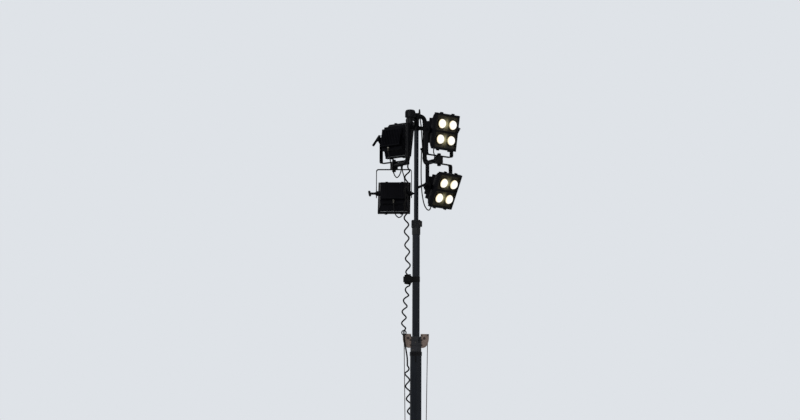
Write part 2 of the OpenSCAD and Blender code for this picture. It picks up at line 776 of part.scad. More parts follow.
module arm(gland_runs, gland_up, elbow_gland, clipped) {
    color("darkslategray")
        difference() {
            union() {
                arm_rod(arm_d / 2, arm_d / 2 + 2.5, 20);
                // Cable glands in the arm's run
                for (run = gland_runs)
                    translate([drop_x, drop_y, clamp_z]) rotate([0, 0, arm_angle])
                        translate([run, 0, 0]) rotate([gland_up, 0, 0]) cylinder(h = arm_d / 2 + gland_l, r = 9);
                if (elbow_gland)
                    translate([drop_x, drop_y, clamp_z - arm_d / 2]) cylinder(h = 40, r = 17);
                if (clipped) cable_clip();
            }
            arm_rod(arm_d / 2 - arm_wall, arm_d / 2 - arm_wall + 2, 14);
        }
}

module arm_left() {
    rotate([0, 0, 180]) arm([139, 163], 180, true, false);
}

module arm_right() {
    arm([238], 0, false, true);
}

// Clamp block on an arm's end, with the pan bolt through it and a knob at each end
module clamp_block() {
    bolt_l = block_h / 2 + yoke_t + 2 * seat_gap + knob_h + 3;
    color("darkslategray")
        translate([clamp_x, clamp_y, clamp_z]) rotate([0, 0, arm_angle]) {
            difference() {
                translate([-block_w / 2, -block_w / 2, -block_h / 2]) cube([block_w, block_w, block_h]);
                for (y = [-1, 1])
                    translate([-block_w / 2 - 1, y * block_w / 2 - 3, -2]) cube([block_w + 2, 6, 4]);
            }
            cylinder(h = 2 * bolt_l, d = pan_bolt_d, center = true);
            for (a = [0, 180])
                rotate([a, 0, 0]) translate([0, 0, block_h / 2 + yoke_t + 2 * seat_gap]) {
                    cylinder(h = knob_h, d = knob_d);
                    for (k = [0:60:300]) rotate([0, 0, k]) translate([knob_d / 2, 0, 0])
                        cylinder(h = knob_h, r = 4);
                }
        }
}

module clamp_right() {
    clamp_block();
}

module clamp_left() {
    rotate([0, 0, 180]) clamp_block();
}

module photocell() {
    color("dimgray")
        translate([CELL_AT[0], CELL_AT[1], 0]) {
            translate([0, 0, cell_z]) cylinder(h = cell_h, d = cell_d);
            translate([0, 0, cell_z - 62]) cylinder(h = 62, r = cell_neck_r);
        }
}

module top_pin() {
    color("gray")
        rotate([0, 0, drop_angle]) translate([39, 0, shoulder_z + arm_d / 2 + 8])
            cylinder(h = pin_l, d = pin_d);
}

module mast_cable() {
    color("black") cord(MAST_CABLE, cable_d, [1, -0.6, 0.2]);
}

module cable_upper_left() {
    color("black") cord(CABLE_UPPER_LEFT, cable_d, [0.7, -0.7, 0]);
}

module cable_lower_left() {
    color("black") cord(CABLE_LOWER_LEFT, cable_d, [0.3, 1, 0]);
}

module cable_upper_right() {
    color("black") cord(CABLE_UPPER_RIGHT, cable_d, [1, 0.6, 0]);
}

module cable_lower_right() {
    color("black") cord(CABLE_LOWER_RIGHT, cable_d, [1, 0.3, 0]);
}

// Places a head's pieces from its clamp: i is the head, children are drawn from the pivot axis
// with X towards the front and Y to the head's left
module at_yoke(i) {
    translate(pivot(i)) rotate([0, 0, PAN[i]]) children();
}

module at_head(i) {
    at_yoke(i) rotate([0, TILT[i], 0]) children();
}

// Flat bar bent to a U: crossbar below, quadrant plates at the pivots
module yoke(i) {
    corner = 26;
    bar_low = -yoke_h + seat_gap;
    leg_l = yoke_h - seat_gap;
    up = i % 2 == 0 ? 1 : -1;
    color("black")
        at_yoke(i) mirror([0, 0, up > 0 ? 0 : 1])
            difference() {
                union() {
                    translate([-yoke_w / 2, -leg_outer + corner, bar_low])
                        cube([yoke_w, 2 * (leg_outer - corner), yoke_t]);
                    for (y = [-1, 1]) {
                        translate([-yoke_w / 2, y * (leg_inner + leg_t / 2) - leg_t / 2, bar_low + corner])
                            cube([yoke_w, leg_t, leg_l - corner]);
                        translate([-yoke_w / 2, y * (leg_outer - corner), bar_low + corner])
                            rotate([0, 90, 0]) rotate([0, 0, y > 0 ? 0 : 270])
                                rotate_extrude(angle = 90) translate([corner - yoke_t, 0])
                                    square([yoke_t, yoke_w]);
                        translate([0, y * (leg_inner + leg_t / 2), 0]) rod_y(quadrant_r, leg_t);
                    }
                }
                translate([0, 0, bar_low - 1]) cylinder(h = yoke_t + 2, r = pan_bolt_d / 2 + 0.3);
                for (y = [-1, 1]) {
                    translate([0, y * (leg_inner + leg_t / 2), 0]) rod_y(pivot_d / 2 + 0.3, leg_t + 2);
                    // Curved clamping slot of the quadrant
                    translate([0, y * (leg_inner + leg_t / 2), 0]) rotate([90, 0, 0])
                        rotate([0, 0, 50])
                            rotate_extrude(angle = 80) translate([33, -leg_t])
                                square([9, 2 * leg_t]);
                }
            }
}

// Stepped outline of the housing, seen from the side (h) or from above (w)
function steps(back, middle, front, wall) =
    let (step_x = wall - back_x / 3, taper_x = 0.3 * frame_back, rim_x = frame_back - rim_l, end_x = frame_back + sign(wall))
    let (half = [[-back_x + wall, back - wall], [step_x, back - wall], [step_x, middle - wall],
        [taper_x, middle - wall], [rim_x, front - wall], [end_x, front - wall]])
    concat([for (q = half) [q[0], -q[1]]], [for (k = [5:-1:0]) half[k]]);

module housing_body(wall) {
    half = front_w / 2;
    intersection() {
        rotate([90, 0, 0]) translate([0, 0, -half]) linear_extrude(2 * half)
            polygon(steps(gear_h / 2, step_h / 2, front_h / 2 - rim_inset_h, wall));
        translate([0, 0, -front_h / 2]) linear_extrude(front_h)
            polygon(steps(gear_w / 2, step_w / 2, front_w / 2 - rim_inset_w, wall));
    }
}

module housing(i) {
    color("black")
        at_head(i) {
            difference() {
                housing_body(0);
                housing_body(housing_wall);
            }
            for (y = [-1, 1]) {
                // Boss, pivot, and a cone nut where there is no handle
                translate([0, y * (gear_w / 2 + leg_inner - seat_gap) / 2, 0])
                    rod_y(boss_d / 2, leg_inner - seat_gap - gear_w / 2);
                translate([0, y * (leg_inner + leg_outer) / 2, 0])
                    rod_y(pivot_d / 2, leg_t + 2 * pivot_over);
                if (y != HANDLE_SIDE[i])
                    translate([0, y * (leg_outer + seat_gap), 0]) rotate([-90 * y, 0, 0])
                        cylinder(h = nut_l, r1 = nut_seat_r, r2 = nut_tip_r);
            }
            // Cable gland under the gear box
            translate([gland_x, GLAND_Y[i], -gear_h / 2 - gland_out]) cylinder(h = gland_out, r = gland_r);
            // Cooling ribs on the back
            for (k = [-ribs_each_side:ribs_each_side])
                translate([-back_x - rib_h, k * rib_pitch - rib_t / 2, rib_margin - gear_h / 2])
                    cube([rib_h, rib_t, gear_h - 2 * rib_margin]);
        }
}

// Folded frame with a lip and a bar in front, the tray behind them, and a ring round each lamp
module front(i) {
    lip = 24;
    bar = 22;
    tray_x = front_x - tray_deep;
    inner_w = front_w - 2 * front_sheet;
    inner_h = front_h - 2 * front_sheet;
    window_h = front_h / 2 - lip - bar / 2;
    lamp_r = lamp_d / 2 + seat_gap;
    color("goldenrod")
        at_head(i) {
            difference() {
                translate([frame_back, -front_w / 2, -front_h / 2]) cube([front_t, front_w, front_h]);
                translate([frame_back + front_sheet, -inner_w / 2, -inner_h / 2])
                    cube([front_t - 2 * front_sheet, inner_w, inner_h]);
                // Opening behind, inside the flange that sits on the housing's rim
                translate([frame_back - 1, -front_w / 2 + 17, -front_h / 2 + 22])
                    cube([front_sheet + 2, front_w - 34, front_h - 44]);
                for (z = [-front_h / 2 + lip, bar / 2])
                    translate([front_x - 10, -front_w / 2 + lip, z])
                        cube([20, front_w - 2 * lip, window_h]);
            }
            difference() {
                union() {
                    translate([tray_x - 3, -inner_w / 2 - 1, -inner_h / 2 - 1])
                        cube([3, inner_w + 2, inner_h + 2]);
                    for (y = [-1, 1], z = [-1, 1])
                        translate([tray_x - 3, y * lamp_pitch_w / 2, z * lamp_pitch_h / 2])
                            rotate([0, 90, 0]) cylinder(h = tray_deep + 1, r = lamp_r + 4);
                }
                for (y = [-1, 1], z = [-1, 1])
                    translate([tray_x - 5, y * lamp_pitch_w / 2, z * lamp_pitch_h / 2])
                        rotate([0, 90, 0]) cylinder(h = 40, r = lamp_r);
            }
            // Toggle latches on the upper and lower edges
            for (y = [-1, 1], z = [-1, 1])
                translate([front_x - 34, y * 88 - 15, z * (front_h / 2 + 5) - 8]) cube([28, 30, 16]);
        }
}

// Half section of a lamp: a bowl of radius r and depth deep, with a domed front
module lamp_section(r, deep, dome) {
    polygon(concat([[0, dome], [0, -deep]],
        [for (t = [0.3:0.1:1]) [r * t, deep * t * t - deep]],
        [for (a = [15:15:75]) [r * cos(a), dome * sin(a)]]));
}

// Sealed lamps of hollow glass
module lamps(i) {
    depth = 52;
    glass = 3;
    color("lemonchiffon")
        at_head(i)
            for (y = [-1, 1], z = [-1, 1])
                translate([front_x - 2, y * lamp_pitch_w / 2, z * lamp_pitch_h / 2]) rotate([0, 90, 0])
                    rotate_extrude() difference() {
                        lamp_section(lamp_d / 2, depth, lamp_dome);
                        lamp_section(lamp_d / 2 - glass, depth - glass, lamp_dome - glass);
                    }
}

module handle(i) {
    y = HANDLE_SIDE[i];
    start = leg_outer + 2;
    color("black")
        at_head(i) {
            translate([0, y * (start + 5), 0]) rod_y(17, 10);
            translate([0, y * (start + 10 + (handle_l - 10) / 2), 0]) rod_y(handle_shaft_d / 2, handle_l - 10);
            translate([0, y * (start + handle_l - 2), 0]) rotate([0, -HANDLE_TURN[i], 0])
                rotate([0, 90, 0]) cylinder(h = handle_bar, d = handle_d, center = true);
        }
}

base_flange();
base_tube();
base_collar();
clamp_band();
cheek_plates();
sheaves();
hoist_rope();
winch_frame();
winch_drum();
winch_crank();
rope_anchor();
junction_box();
cord_hook();
lower_cord();
middle_tube();
middle_collar();
cord_bundle();
bundle_strap();
upper_cord();
middle_cord();
top_tube();
mast_cap();
arm_left();
arm_right();
clamp_left();
clamp_right();
photocell();
top_pin();
mast_cable();
cable_upper_left();
cable_lower_left();
cable_upper_right();
cable_lower_right();
for (i = [0:3]) {
    yoke(i);
    housing(i);
    front(i);
    lamps(i);
    handle(i);
}
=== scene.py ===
import math

import bmesh
import bpy
from mathutils import Matrix, Vector


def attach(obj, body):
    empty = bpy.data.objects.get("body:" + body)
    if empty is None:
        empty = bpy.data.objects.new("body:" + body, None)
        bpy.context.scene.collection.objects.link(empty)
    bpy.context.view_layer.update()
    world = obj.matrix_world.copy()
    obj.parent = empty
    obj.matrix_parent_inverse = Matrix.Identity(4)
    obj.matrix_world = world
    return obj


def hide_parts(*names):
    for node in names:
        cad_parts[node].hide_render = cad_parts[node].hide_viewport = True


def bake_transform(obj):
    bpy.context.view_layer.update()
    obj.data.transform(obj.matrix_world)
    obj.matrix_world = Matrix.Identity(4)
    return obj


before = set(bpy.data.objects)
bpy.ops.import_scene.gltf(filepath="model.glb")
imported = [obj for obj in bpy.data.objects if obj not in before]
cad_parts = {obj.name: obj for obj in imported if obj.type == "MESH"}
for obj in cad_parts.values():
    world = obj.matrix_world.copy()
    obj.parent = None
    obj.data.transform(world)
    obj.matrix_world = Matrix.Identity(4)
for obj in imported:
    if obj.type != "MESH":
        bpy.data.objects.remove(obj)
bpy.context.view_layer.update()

# ---- Camera
# Stands on the ground to the left of the mast's front and looks up at the heads with a long lens.
# The mast stands a little right of the frame's middle.
def stand(name, data):
    """A new object in the scene."""
    made = bpy.data.objects.new(name, data)
    bpy.context.collection.objects.link(made)
    return made


camera = stand("camera", bpy.data.cameras.new("camera"))
bpy.context.scene.camera = camera
camera.data.lens = 106.5
camera.data.sensor_width = 36
camera.data.clip_end = 900
camera.location = (-4.49, -25.41, 1.48)
camera.rotation_euler = (math.radians(96.8), math.radians(-0.2), math.radians(-9.65))


# ---- Curly feed cord
# Black rubber cord wound into a spring, so that it follows the mast as the tubes run out.
# It hangs from the left arm's elbow, is tied to the middle tube, passes the ring on the left cheek
# plate and goes down the back of the base tube into the junction box.
def linear(hex_colour):
    """An sRGB hex colour as the linear values that a shader's socket holds."""
    values = [int(hex_colour[i : i + 2], 16) / 255 for i in (1, 3, 5)]
    return [v / 12.92 if v <= 0.04045 else ((v + 0.055) / 1.055) ** 2.4 for v in values] + [1.0]


def add(tree, kind, links=None, **settings):
    """Adds a node to a tree: settings are its properties, links its inputs as values or sockets."""
    made = tree.nodes.new(kind)
    for name, value in settings.items():
        setattr(made, name, value)
    for name, value in (links or {}).items():
        if isinstance(value, bpy.types.NodeSocket):
            tree.links.new(value, made.inputs[name])
        else:
            made.inputs[name].default_value = value
    return made


def calc(tree, operation, *values):
    """The result of an operation on values or sockets."""
    return add(tree, "ShaderNodeMath", dict(enumerate(values)), operation=operation).outputs[0]


def remap(tree, value, low, high, new_low=0.0, new_high=1.0):
    """Stretches the range low to high to the range new_low to new_high."""
    return add(tree, "ShaderNodeMapRange", {"Value": value, "From Min": low, "From Max": high,
                                            "To Min": new_low, "To Max": new_high}).outputs[0]


def mixed(tree, share, first, second, blend="MIX"):
    """Two colours mixed."""
    return add(tree, "ShaderNodeMix", {"Factor": share, 6: first, 7: second}, data_type="RGBA",
               blend_type=blend).outputs[2]


def blank(name):
    """A new material, its node tree and its shader."""
    made = bpy.data.materials.new(name)
    made.use_nodes = True
    return made, made.node_tree, made.node_tree.nodes["Principled BSDF"]


def finish(name, dark, light, roughness, metallic=0.0, grain=0.4, bump=0.05, stretch=(1, 1, 1),
           stain=120, wear=None, coat=0.0, dust=None, shine=0.5):
    """A surface of one real finish. grain and stain are pattern sizes in mm, bump a height in mm.
    stretch draws the grain out along an axis, wear is the colour of its worn spots,
    dust the colour of what lies on faces that point up, and shine how strongly it mirrors."""
    made, tree, shader = blank(name)
    where = add(tree, "ShaderNodeTexCoord").outputs["Object"]
    along = add(tree, "ShaderNodeMapping", {"Vector": where, "Scale": stretch}).outputs["Vector"]
    fine = add(tree, "ShaderNodeTexNoise", {"Vector": along, "Scale": 1000 / grain, "Detail": 3})
    broad = add(tree, "ShaderNodeTexNoise", {"Vector": where, "Scale": 1000 / stain, "Detail": 5})
    both = calc(tree, "ADD", fine.outputs["Fac"], broad.outputs["Fac"])
    share = remap(tree, both, 0.72, 1.28)
    colour = mixed(tree, share, linear(dark), linear(light))
    if wear:
        patch = add(tree, "ShaderNodeTexNoise", {"Vector": along, "Scale": 1000 / (stain * 0.22), "Detail": 8,
                                                 "Roughness": 0.7})
        spots = remap(tree, patch.outputs["Fac"], 0.63, 0.7, new_high=0.8)
        colour = mixed(tree, spots, colour, linear(wear))
    if dust:
        normal = add(tree, "ShaderNodeNewGeometry").outputs["Normal"]
        up = add(tree, "ShaderNodeSeparateXYZ", {"Vector": normal}).outputs["Z"]
        broken = calc(tree, "MULTIPLY", remap(tree, up, 0.35, 1.0, new_high=0.45), share)
        colour = mixed(tree, broken, colour, linear(dust))
    tree.links.new(colour, shader.inputs["Base Color"])
    gloss = remap(tree, both, 0.7, 1.3, roughness - 0.08, roughness + 0.08)
    tree.links.new(gloss, shader.inputs["Roughness"])
    relief = add(tree, "ShaderNodeBump", {"Height": fine.outputs["Fac"], "Distance": bump / 1000,
                                          "Strength": 0.6})
    tree.links.new(relief.outputs[0], shader.inputs["Normal"])
    shader.inputs["Metallic"].default_value = metallic
    shader.inputs["Coat Weight"].default_value = coat
    shader.inputs["Specular IOR Level"].default_value = shine
    return made


# Extruded EPDM rubber: nearly black with a dull sheen, greyer where dust has settled
cord_rubber = finish("epdm_rubber_sheath", "#0a0909", "#131112", 0.6, grain=2.5, bump=0.08, stain=60,
                     dust="#1a1716", shine=0.15)


def smooth(route, n):
    """Points in metres on a smooth curve through a route in millimetres, as in the part's source."""
    route = [Vector(p) / 1000 for p in route]
    line = []
    for i in range(len(route) - 1):
        a, b, c, d = (route[max(0, min(len(route) - 1, i + k))] for k in (-1, 0, 1, 2))
        for k in range(n):
            t = k / n
            line.append(0.5 * (2 * b + (c - a) * t + (2 * a - 5 * b + 4 * c - d) * t * t
                               + (3 * b - a - 3 * c + d) * t ** 3))
    return line + [route[-1]]


def evenly(line, step):
    """The same line with its points a step apart."""
    lengths = [0.0]
    for a, b in zip(line, line[1:]):
        lengths.append(lengths[-1] + (b - a).length)
    count = max(2, round(lengths[-1] / step))
    points, i = [], 0
    for k in range(count + 1):
        s = lengths[-1] * k / count
        while i < len(lengths) - 2 and lengths[i + 1] < s:
            i += 1
        share = (s - lengths[i]) / max(lengths[i + 1] - lengths[i], 1e-9)
        points.append(line[i].lerp(line[i + 1], share))
    return points


def frames(line):
    """For each point of a line, two directions square to it that never twist."""
    side, result = None, []
    for i in range(len(line)):
        along = (line[min(i + 1, len(line) - 1)] - line[max(i - 1, 0)]).normalized()
        if side is None:
            side = along.orthogonal().normalized()
        side = (side - along * side.dot(along)).normalized()
        result.append((side, along.cross(side)))
    return result


def curled(line, pitch, radius, lead):
    """Winds a line into a spring whose turns die out over the first and last half turn.
    lead is the share of a turn at which it starts."""
    steps = 20
    line = evenly(line, pitch / steps)
    wound = []
    for i, (u, v) in enumerate(frames(line)):
        ends = min(i, len(line) - 1 - i) / (steps / 2)
        swell = radius * (1 if ends >= 1 else ends * ends * (3 - 2 * ends))
        a = 2 * math.pi * (i / steps + lead)
        wound.append(line[i] + swell * (math.cos(a) * u + math.sin(a) * v))
    return wound


def smoothed(mesh):
    """Shades all faces smooth."""
    for face in mesh.polygons:
        face.use_smooth = True


def piece(name, verts, faces, material):
    """A mesh object in the row frame, with its normals outward."""
    mesh = bpy.data.meshes.new(name)
    mesh.from_pydata([tuple(v) for v in verts], [], faces)
    mesh.validate()
    made = stand(name, mesh)
    work = bmesh.new()
    work.from_mesh(mesh)
    bmesh.ops.remove_doubles(work, verts=work.verts, dist=1e-6)
    bmesh.ops.recalc_face_normals(work, faces=work.faces)
    work.to_mesh(mesh)
    work.free()
    mesh.materials.append(material)
    smoothed(mesh)
    mesh.set_sharp_from_angle(angle=math.radians(35))
    return made


def circle(at, radius, u, v, sides):
    """Points round a place, from u towards v."""
    turns = (2 * math.pi * k / sides for k in range(sides))
    return [at + radius * (math.cos(a) * u + math.sin(a) * v) for a in turns]


def skin(rows, sides):
    """Faces between rings of points."""
    return [(i * sides + k, i * sides + n, (i + 1) * sides + n, (i + 1) * sides + k)
            for i in range(rows - 1) for k, n in ((k, (k + 1) % sides) for k in range(sides))]


def caps(rows, sides):
    """Faces that close the first ring and the last."""
    return [tuple(range(sides)), tuple((rows - 1) * sides + k for k in range(sides))]


def tube(name, line, diameter, material, sides=12):
    """A closed tube whose rings are centred on the line's points."""
    verts = [p for at, (u, v) in zip(line, frames(line)) for p in circle(at, diameter / 2, u, v, sides)]
    return piece(name, verts, skin(len(line), sides) + caps(len(line), sides), material)


def hung(name, node, path, diameter):
    """A rubber cord that stands for a node, which it hides."""
    made = tube(name, path, diameter, cord_rubber)
    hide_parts(node)
    return made


# FINE is the number of points for each step of a route, CURL the radius of the cord's turns
FINE = 6
CORD = 0.0165
CURL = 0.0235
UPPER_CORD = [(-100, -37, 5055.7), (-100, -37, 5040), (-100, -37, 5022), (-110, -38, 4920),
              (-117, -36, 4720), (-115, -32, 4480), (-108, -24, 4240), (-98, -14, 4050), (-90, -5, 3930),
              (-90, -5, 3884), (-90, -5, 3800)]
MIDDLE_CORD = [(-90, -5, 3780), (-90, -5, 3725), (-90, -5, 3709), (-98, -14, 3668), (-112, -26, 3600),
               (-128, -36, 3500), (-138, -39, 3390), (-140, -39, 3300), (-139, -39, 3205)]
LOWER_CORD = [(-139, -39, 3205), (-139, -41, 3197), (-139, -53, 3181), (-137, -51, 3150), (-132, -43, 3110),
              (-116, -40, 3020), (-99, -22, 2935), (-90, 18, 2865), (-86, 58, 2800), (-82, 74, 2740),
              (-76, 80, 2640), (-62, 88, 2480), (-44, 95, 2300), (-22, 101, 2050), (-6, 105, 1800),
              (0, 106, 1500), (0, 106, 1192)]

# A turn's length and the share of a turn at which each cord starts, read from the photo. The lower
# cord is pulled straight over its first seven steps.
UPPER_TURN, UPPER_LEAD = 0.1486, 0.17
MIDDLE_TURN, MIDDLE_LEAD = 0.125, 0.32
LOWER_TURN, LOWER_LEAD = 0.137, 0.33
STRAIGHT = 7 * FINE

path = curled(smooth(UPPER_CORD, FINE), UPPER_TURN, CURL, UPPER_LEAD)
upper_cord = hung("upper_curly_cord", "upper_cord", path, CORD)
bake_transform(upper_cord)

path = curled(smooth(MIDDLE_CORD, FINE), MIDDLE_TURN, CURL, MIDDLE_LEAD)
middle_cord = hung("middle_curly_cord", "middle_cord", path, CORD)
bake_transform(middle_cord)

line = smooth(LOWER_CORD, FINE)
path = line[:STRAIGHT] + curled(line[STRAIGHT:], LOWER_TURN, CURL, LOWER_LEAD)
lower_cord = hung("lower_curly_cord", "lower_cord", path, CORD)
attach(lower_cord, "base")

# Rubber hose pushed over the ring, so that the steel doesn't chafe the cord
RING = Vector((-0.139, -0.039, 3.205))
RING_RADIUS, SLEEVE = 0.024, 0.0125
arc = [math.radians(100 + 350 * k / 48) for k in range(49)]
sleeve = tube("ring_sleeve", [RING + RING_RADIUS * Vector((math.cos(a), 0, math.sin(a))) for a in arc],
              SLEEVE, cord_rubber)
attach(sleeve, "base")

# The spare length, wound into an uneven coil and strapped to the middle tube
BUNDLE = Vector((-0.0903, -0.005, 3.791))
TURNS, PER_TURN, COIL_TALL = 6, 40, 0.099
COIL_RADIUS, BELLY, SLACK = 0.0285, 0.012, 0.0032
path = []
for k in range(TURNS * PER_TURN + 1):
    a = 2 * math.pi * k / PER_TURN
    z = COIL_TALL * (k / (TURNS * PER_TURN) - 0.5)
    r = COIL_RADIUS + BELLY * math.cos(math.pi * z / 0.1) + SLACK * math.sin(a * 2.3) * math.sin(a * 0.37)
    path.append(BUNDLE + Vector((r * math.cos(a), r * math.sin(a), z)))
cord_bundle = hung("cord_bundle_turns", "cord_bundle", path, CORD)
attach(cord_bundle, "middle")

# Woven polyester strap, 60 mm wide: threads 1.5 mm apart, drawn coarser than real so that they show
strap, tree, shader = blank("woven_polyester_strap")
where = add(tree, "ShaderNodeTexCoord").outputs["Object"]
warp, weft = (add(tree, "ShaderNodeTexWave", {"Vector": where, "Scale": 210, "Distortion": 0.4},
                  bands_direction=way).outputs["Fac"] for way in ("Z", "DIAGONAL"))
weave = calc(tree, "MULTIPLY", warp, weft)
relief = add(tree, "ShaderNodeBump", {"Height": weave, "Distance": 0.0004})
tree.links.new(mixed(tree, weave, linear("#060607"), linear("#121214")), shader.inputs["Base Color"])
tree.links.new(relief.outputs[0], shader.inputs["Normal"])
shader.inputs["Roughness"].default_value = 0.8
shader.inputs["Sheen Weight"].default_value = 0.05
shader.inputs["Specular IOR Level"].default_value = 0.2


def paint(material, *nodes):
    """Gives CAD nodes their finish."""
    for name in nodes:
        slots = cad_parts[name].material_slots
        for held in slots:
            held.material = material
        if not slots:
            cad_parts[name].data.materials.append(material)


paint(strap, "bundle_strap")

# ---- Lamp cables
# Black rubber cables. Each leaves a gland on an arm in a loose loop, long enough for its head to turn
# and tilt, and enters the gland under the head. The loop's first half follows the yoke, the second
# half the head. Places and angles are in millimetres and degrees, as in the part's source.
CABLE = 0.0125
SIDES = ("upper_left", "lower_left", "upper_right", "lower_right")
PAN = (38, 78, -55, -51)
TILT = (8.5, 25, 9, 23.5)
GLAND_Y = (35, 0, 0, 0)
SHOULDER = Vector((99.98, 36.98, 0))
CLAMP = Vector((200.05, -289.99, 5080))
PIVOT_UP = 309.5
OFF_ARM = 36.3
GLAND_X, GLAND_TOP, GLAND_END = -40, -112, -124.3


def mm(x, y, z):
    """A point given in millimetres."""
    return Vector((x, y, z)) / 1000


def head_place(number):
    """Where a head's pivot axis stands: X towards its front, Y to its left."""
    hand = -1 if number < 2 else 1
    up = 1 if number % 2 == 0 else -1
    return (Matrix.Translation(mm(hand * CLAMP.x, hand * CLAMP.y, CLAMP.z + up * PIVOT_UP))
            @ Matrix.Rotation(math.radians(PAN[number]), 4, "Z")
            @ Matrix.Rotation(math.radians(TILT[number]), 4, "Y"))


def from_arm(hand, reach, up):
    """Three points in line below or above the gland that is a reach along an arm's lower run."""
    along = Vector((CLAMP.x, CLAMP.y, 0)) - SHOULDER
    at = hand * (SHOULDER + along.normalized() * reach)
    return [(at.x, at.y, CLAMP.z + up * (OFF_ARM + d)) for d in (0, 10, 22)]


def by_clamp(*points):
    """Points whose height is given from the clamps' middle."""
    return [(x, y, z + CLAMP.z) for x, y, z in points]


def to_head(number):
    """Three points in line below the gland under a head."""
    return [head_place(number) @ mm(GLAND_X, GLAND_Y[number], GLAND_END - d) * 1000 for d in (22, 10, 0)]


CABLES = {
    "upper_left": (5, from_arm(-1, 163, -1) + by_clamp(
        (-152, 131, -90), (-166, 148, -126), (-188, 168, -146), (-210, 188, -118), (-230, 208, -50),
        (-247, 222, 20), (-257, 238, 80), (-265, 262, 130)) + to_head(0)),
    "lower_left": (9, from_arm(-1, 139, -1) + by_clamp(
        (-134, 106, -90), (-112, 130, -150), (-97, 143, -260), (-97, 146, -420), (-110, 151, -520),
        (-134, 157, -572), (-166, 164, -590), (-196, 171, -566), (-212, 178, -524), (-219, 186, -476))
        + to_head(1)),
    "upper_right": (5, from_arm(1, 238, 1) + by_clamp(
        (164, -186, 78), (158, -190, 102), (157, -206, 130), (160, -226, 154)) + to_head(2)),
    "lower_right": (8, by_clamp(
        (63, 24, 148), (63, 24, 138), (63, 24, 126), (58, 8, 70), (48, -34, -50), (40, -84, -190),
        (38, -140, -340), (50, -196, -470), (74, -228, -535), (102, -236, -548), (124, -224, -510),
        (134, -214, -468)) + to_head(3)),
}
for side, (lowest, route) in CABLES.items():
    line, split = smooth(route, FINE), lowest * FINE
    for half, path, bodies in (("arm", line[: split + 1], ("top", "yoke_" + side)),
                               ("head", line[split:], ("yoke_" + side, "head_" + side))):
        cable = hung(f"cable_{side}_{half}", "cable_" + side, path, CABLE)
        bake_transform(cable)

MAST_CABLE = by_clamp((44, 14, 491), (49, 3, 440), (54, 0, 400), (59, 5, 340), (66, 18, 260), (72, 25, 195),
                      (73, 26, 155), (78, 16, 105), (94, -5, 60), (110, -22, 36), (119, -32, 29))
mast_cable = hung("mast_cable_run", "mast_cable", smooth(MAST_CABLE, FINE), CABLE)
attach(mast_cable, "top")

# ---- Base flange and mast tubes
# Rolled steel tubes, welded to a thick bolted plate. The plate is hot-dip galvanised; the tubes are
# coated slate grey, with long faint streaks where rain has run down them.
mast_steel = finish("coated_steel_tube", "#10141a", "#1b2028", 0.42, metallic=0.15, grain=9, bump=0.05,
                    stretch=(1, 1, 0.06), stain=260, wear="#282c33", coat=0.03, shine=0.19)
paint(mast_steel, "base_tube", "middle_tube", "top_tube")

galvanised = finish("hot_dip_galvanised_steel", "#7b7f82", "#9a9d9f", 0.48, metallic=0.6, grain=14, bump=0.04,
                    stain=90)
paint(galvanised, "base_flange", "winch_frame", "winch_drum", "rope_anchor")


def arranged(name, source, group, values, material):
    """Runs a node group on a source object and keeps its result as a plain mesh."""
    modifier = source.modifiers.new("arrange", "NODES")
    modifier.node_group = group
    for item in group.interface.items_tree:
        if item.item_type == "SOCKET" and item.in_out == "INPUT" and item.name in values:
            modifier[item.identifier] = values[item.name]
    ready = source.evaluated_get(bpy.context.evaluated_depsgraph_get())
    mesh = bpy.data.meshes.new_from_object(ready)
    made = stand(name, mesh)
    mesh.materials.clear()
    mesh.materials.append(material)
    for face in mesh.polygons:
        face.material_index = 0
    data = source.data
    bpy.data.objects.remove(source)
    if data.users == 0:
        (bpy.data.curves if isinstance(data, bpy.types.Curve) else bpy.data.meshes).remove(data)
    return made


def group(name, sizes):
    """An empty geometry group with named inputs: sizes maps a name to (socket kind, default)."""
    made = bpy.data.node_groups.new(name, "GeometryNodeTree")
    made.interface.new_socket("Geometry", in_out="INPUT", socket_type="NodeSocketGeometry")
    for label, (kind, default) in sizes.items():
        socket = made.interface.new_socket(label, in_out="INPUT", socket_type=kind)
        socket.default_value = default
    made.interface.new_socket("Finish", in_out="INPUT", socket_type="NodeSocketMaterial")
    made.interface.new_socket("Geometry", in_out="OUTPUT", socket_type="NodeSocketGeometry")
    return made, made.nodes.new("NodeGroupInput"), made.nodes.new("NodeGroupOutput")


def deliver(tree, shape, given, result):
    """Makes a group's shape a plain mesh with the given finish, and hands it out."""
    solid = add(tree, "GeometryNodeRealizeInstances", {"Geometry": shape})
    painted = add(tree, "GeometryNodeSetMaterial", {"Geometry": solid.outputs["Geometry"],
                                                    "Material": given.outputs["Finish"]})
    tree.links.new(painted.outputs["Geometry"], result.inputs["Geometry"])


# Weld bead: overlapping drops of metal laid along a line
bead_tree, given, result = group("weld_bead", {"Drop spacing": ("NodeSocketFloat", 0.004),
                                               "Drop radius": ("NodeSocketFloat", 0.004)})
drops = add(bead_tree, "GeometryNodeResampleCurve", {"Curve": given.outputs["Geometry"],
                                                     "Length": given.outputs["Drop spacing"]}, mode="LENGTH")
drop = add(bead_tree, "GeometryNodeMeshIcoSphere", {"Radius": given.outputs["Drop radius"],
                                                    "Subdivisions": 2})
unlike = add(bead_tree, "FunctionNodeRandomValue", {2: 0.85, 3: 1.1, "Seed": 4}, data_type="FLOAT")
laid = add(bead_tree, "GeometryNodeInstanceOnPoints", {"Points": drops.outputs["Curve"],
                                                       "Instance": drop.outputs["Mesh"],
                                                       "Scale": unlike.outputs[1]})
deliver(bead_tree, laid.outputs["Instances"], given, result)


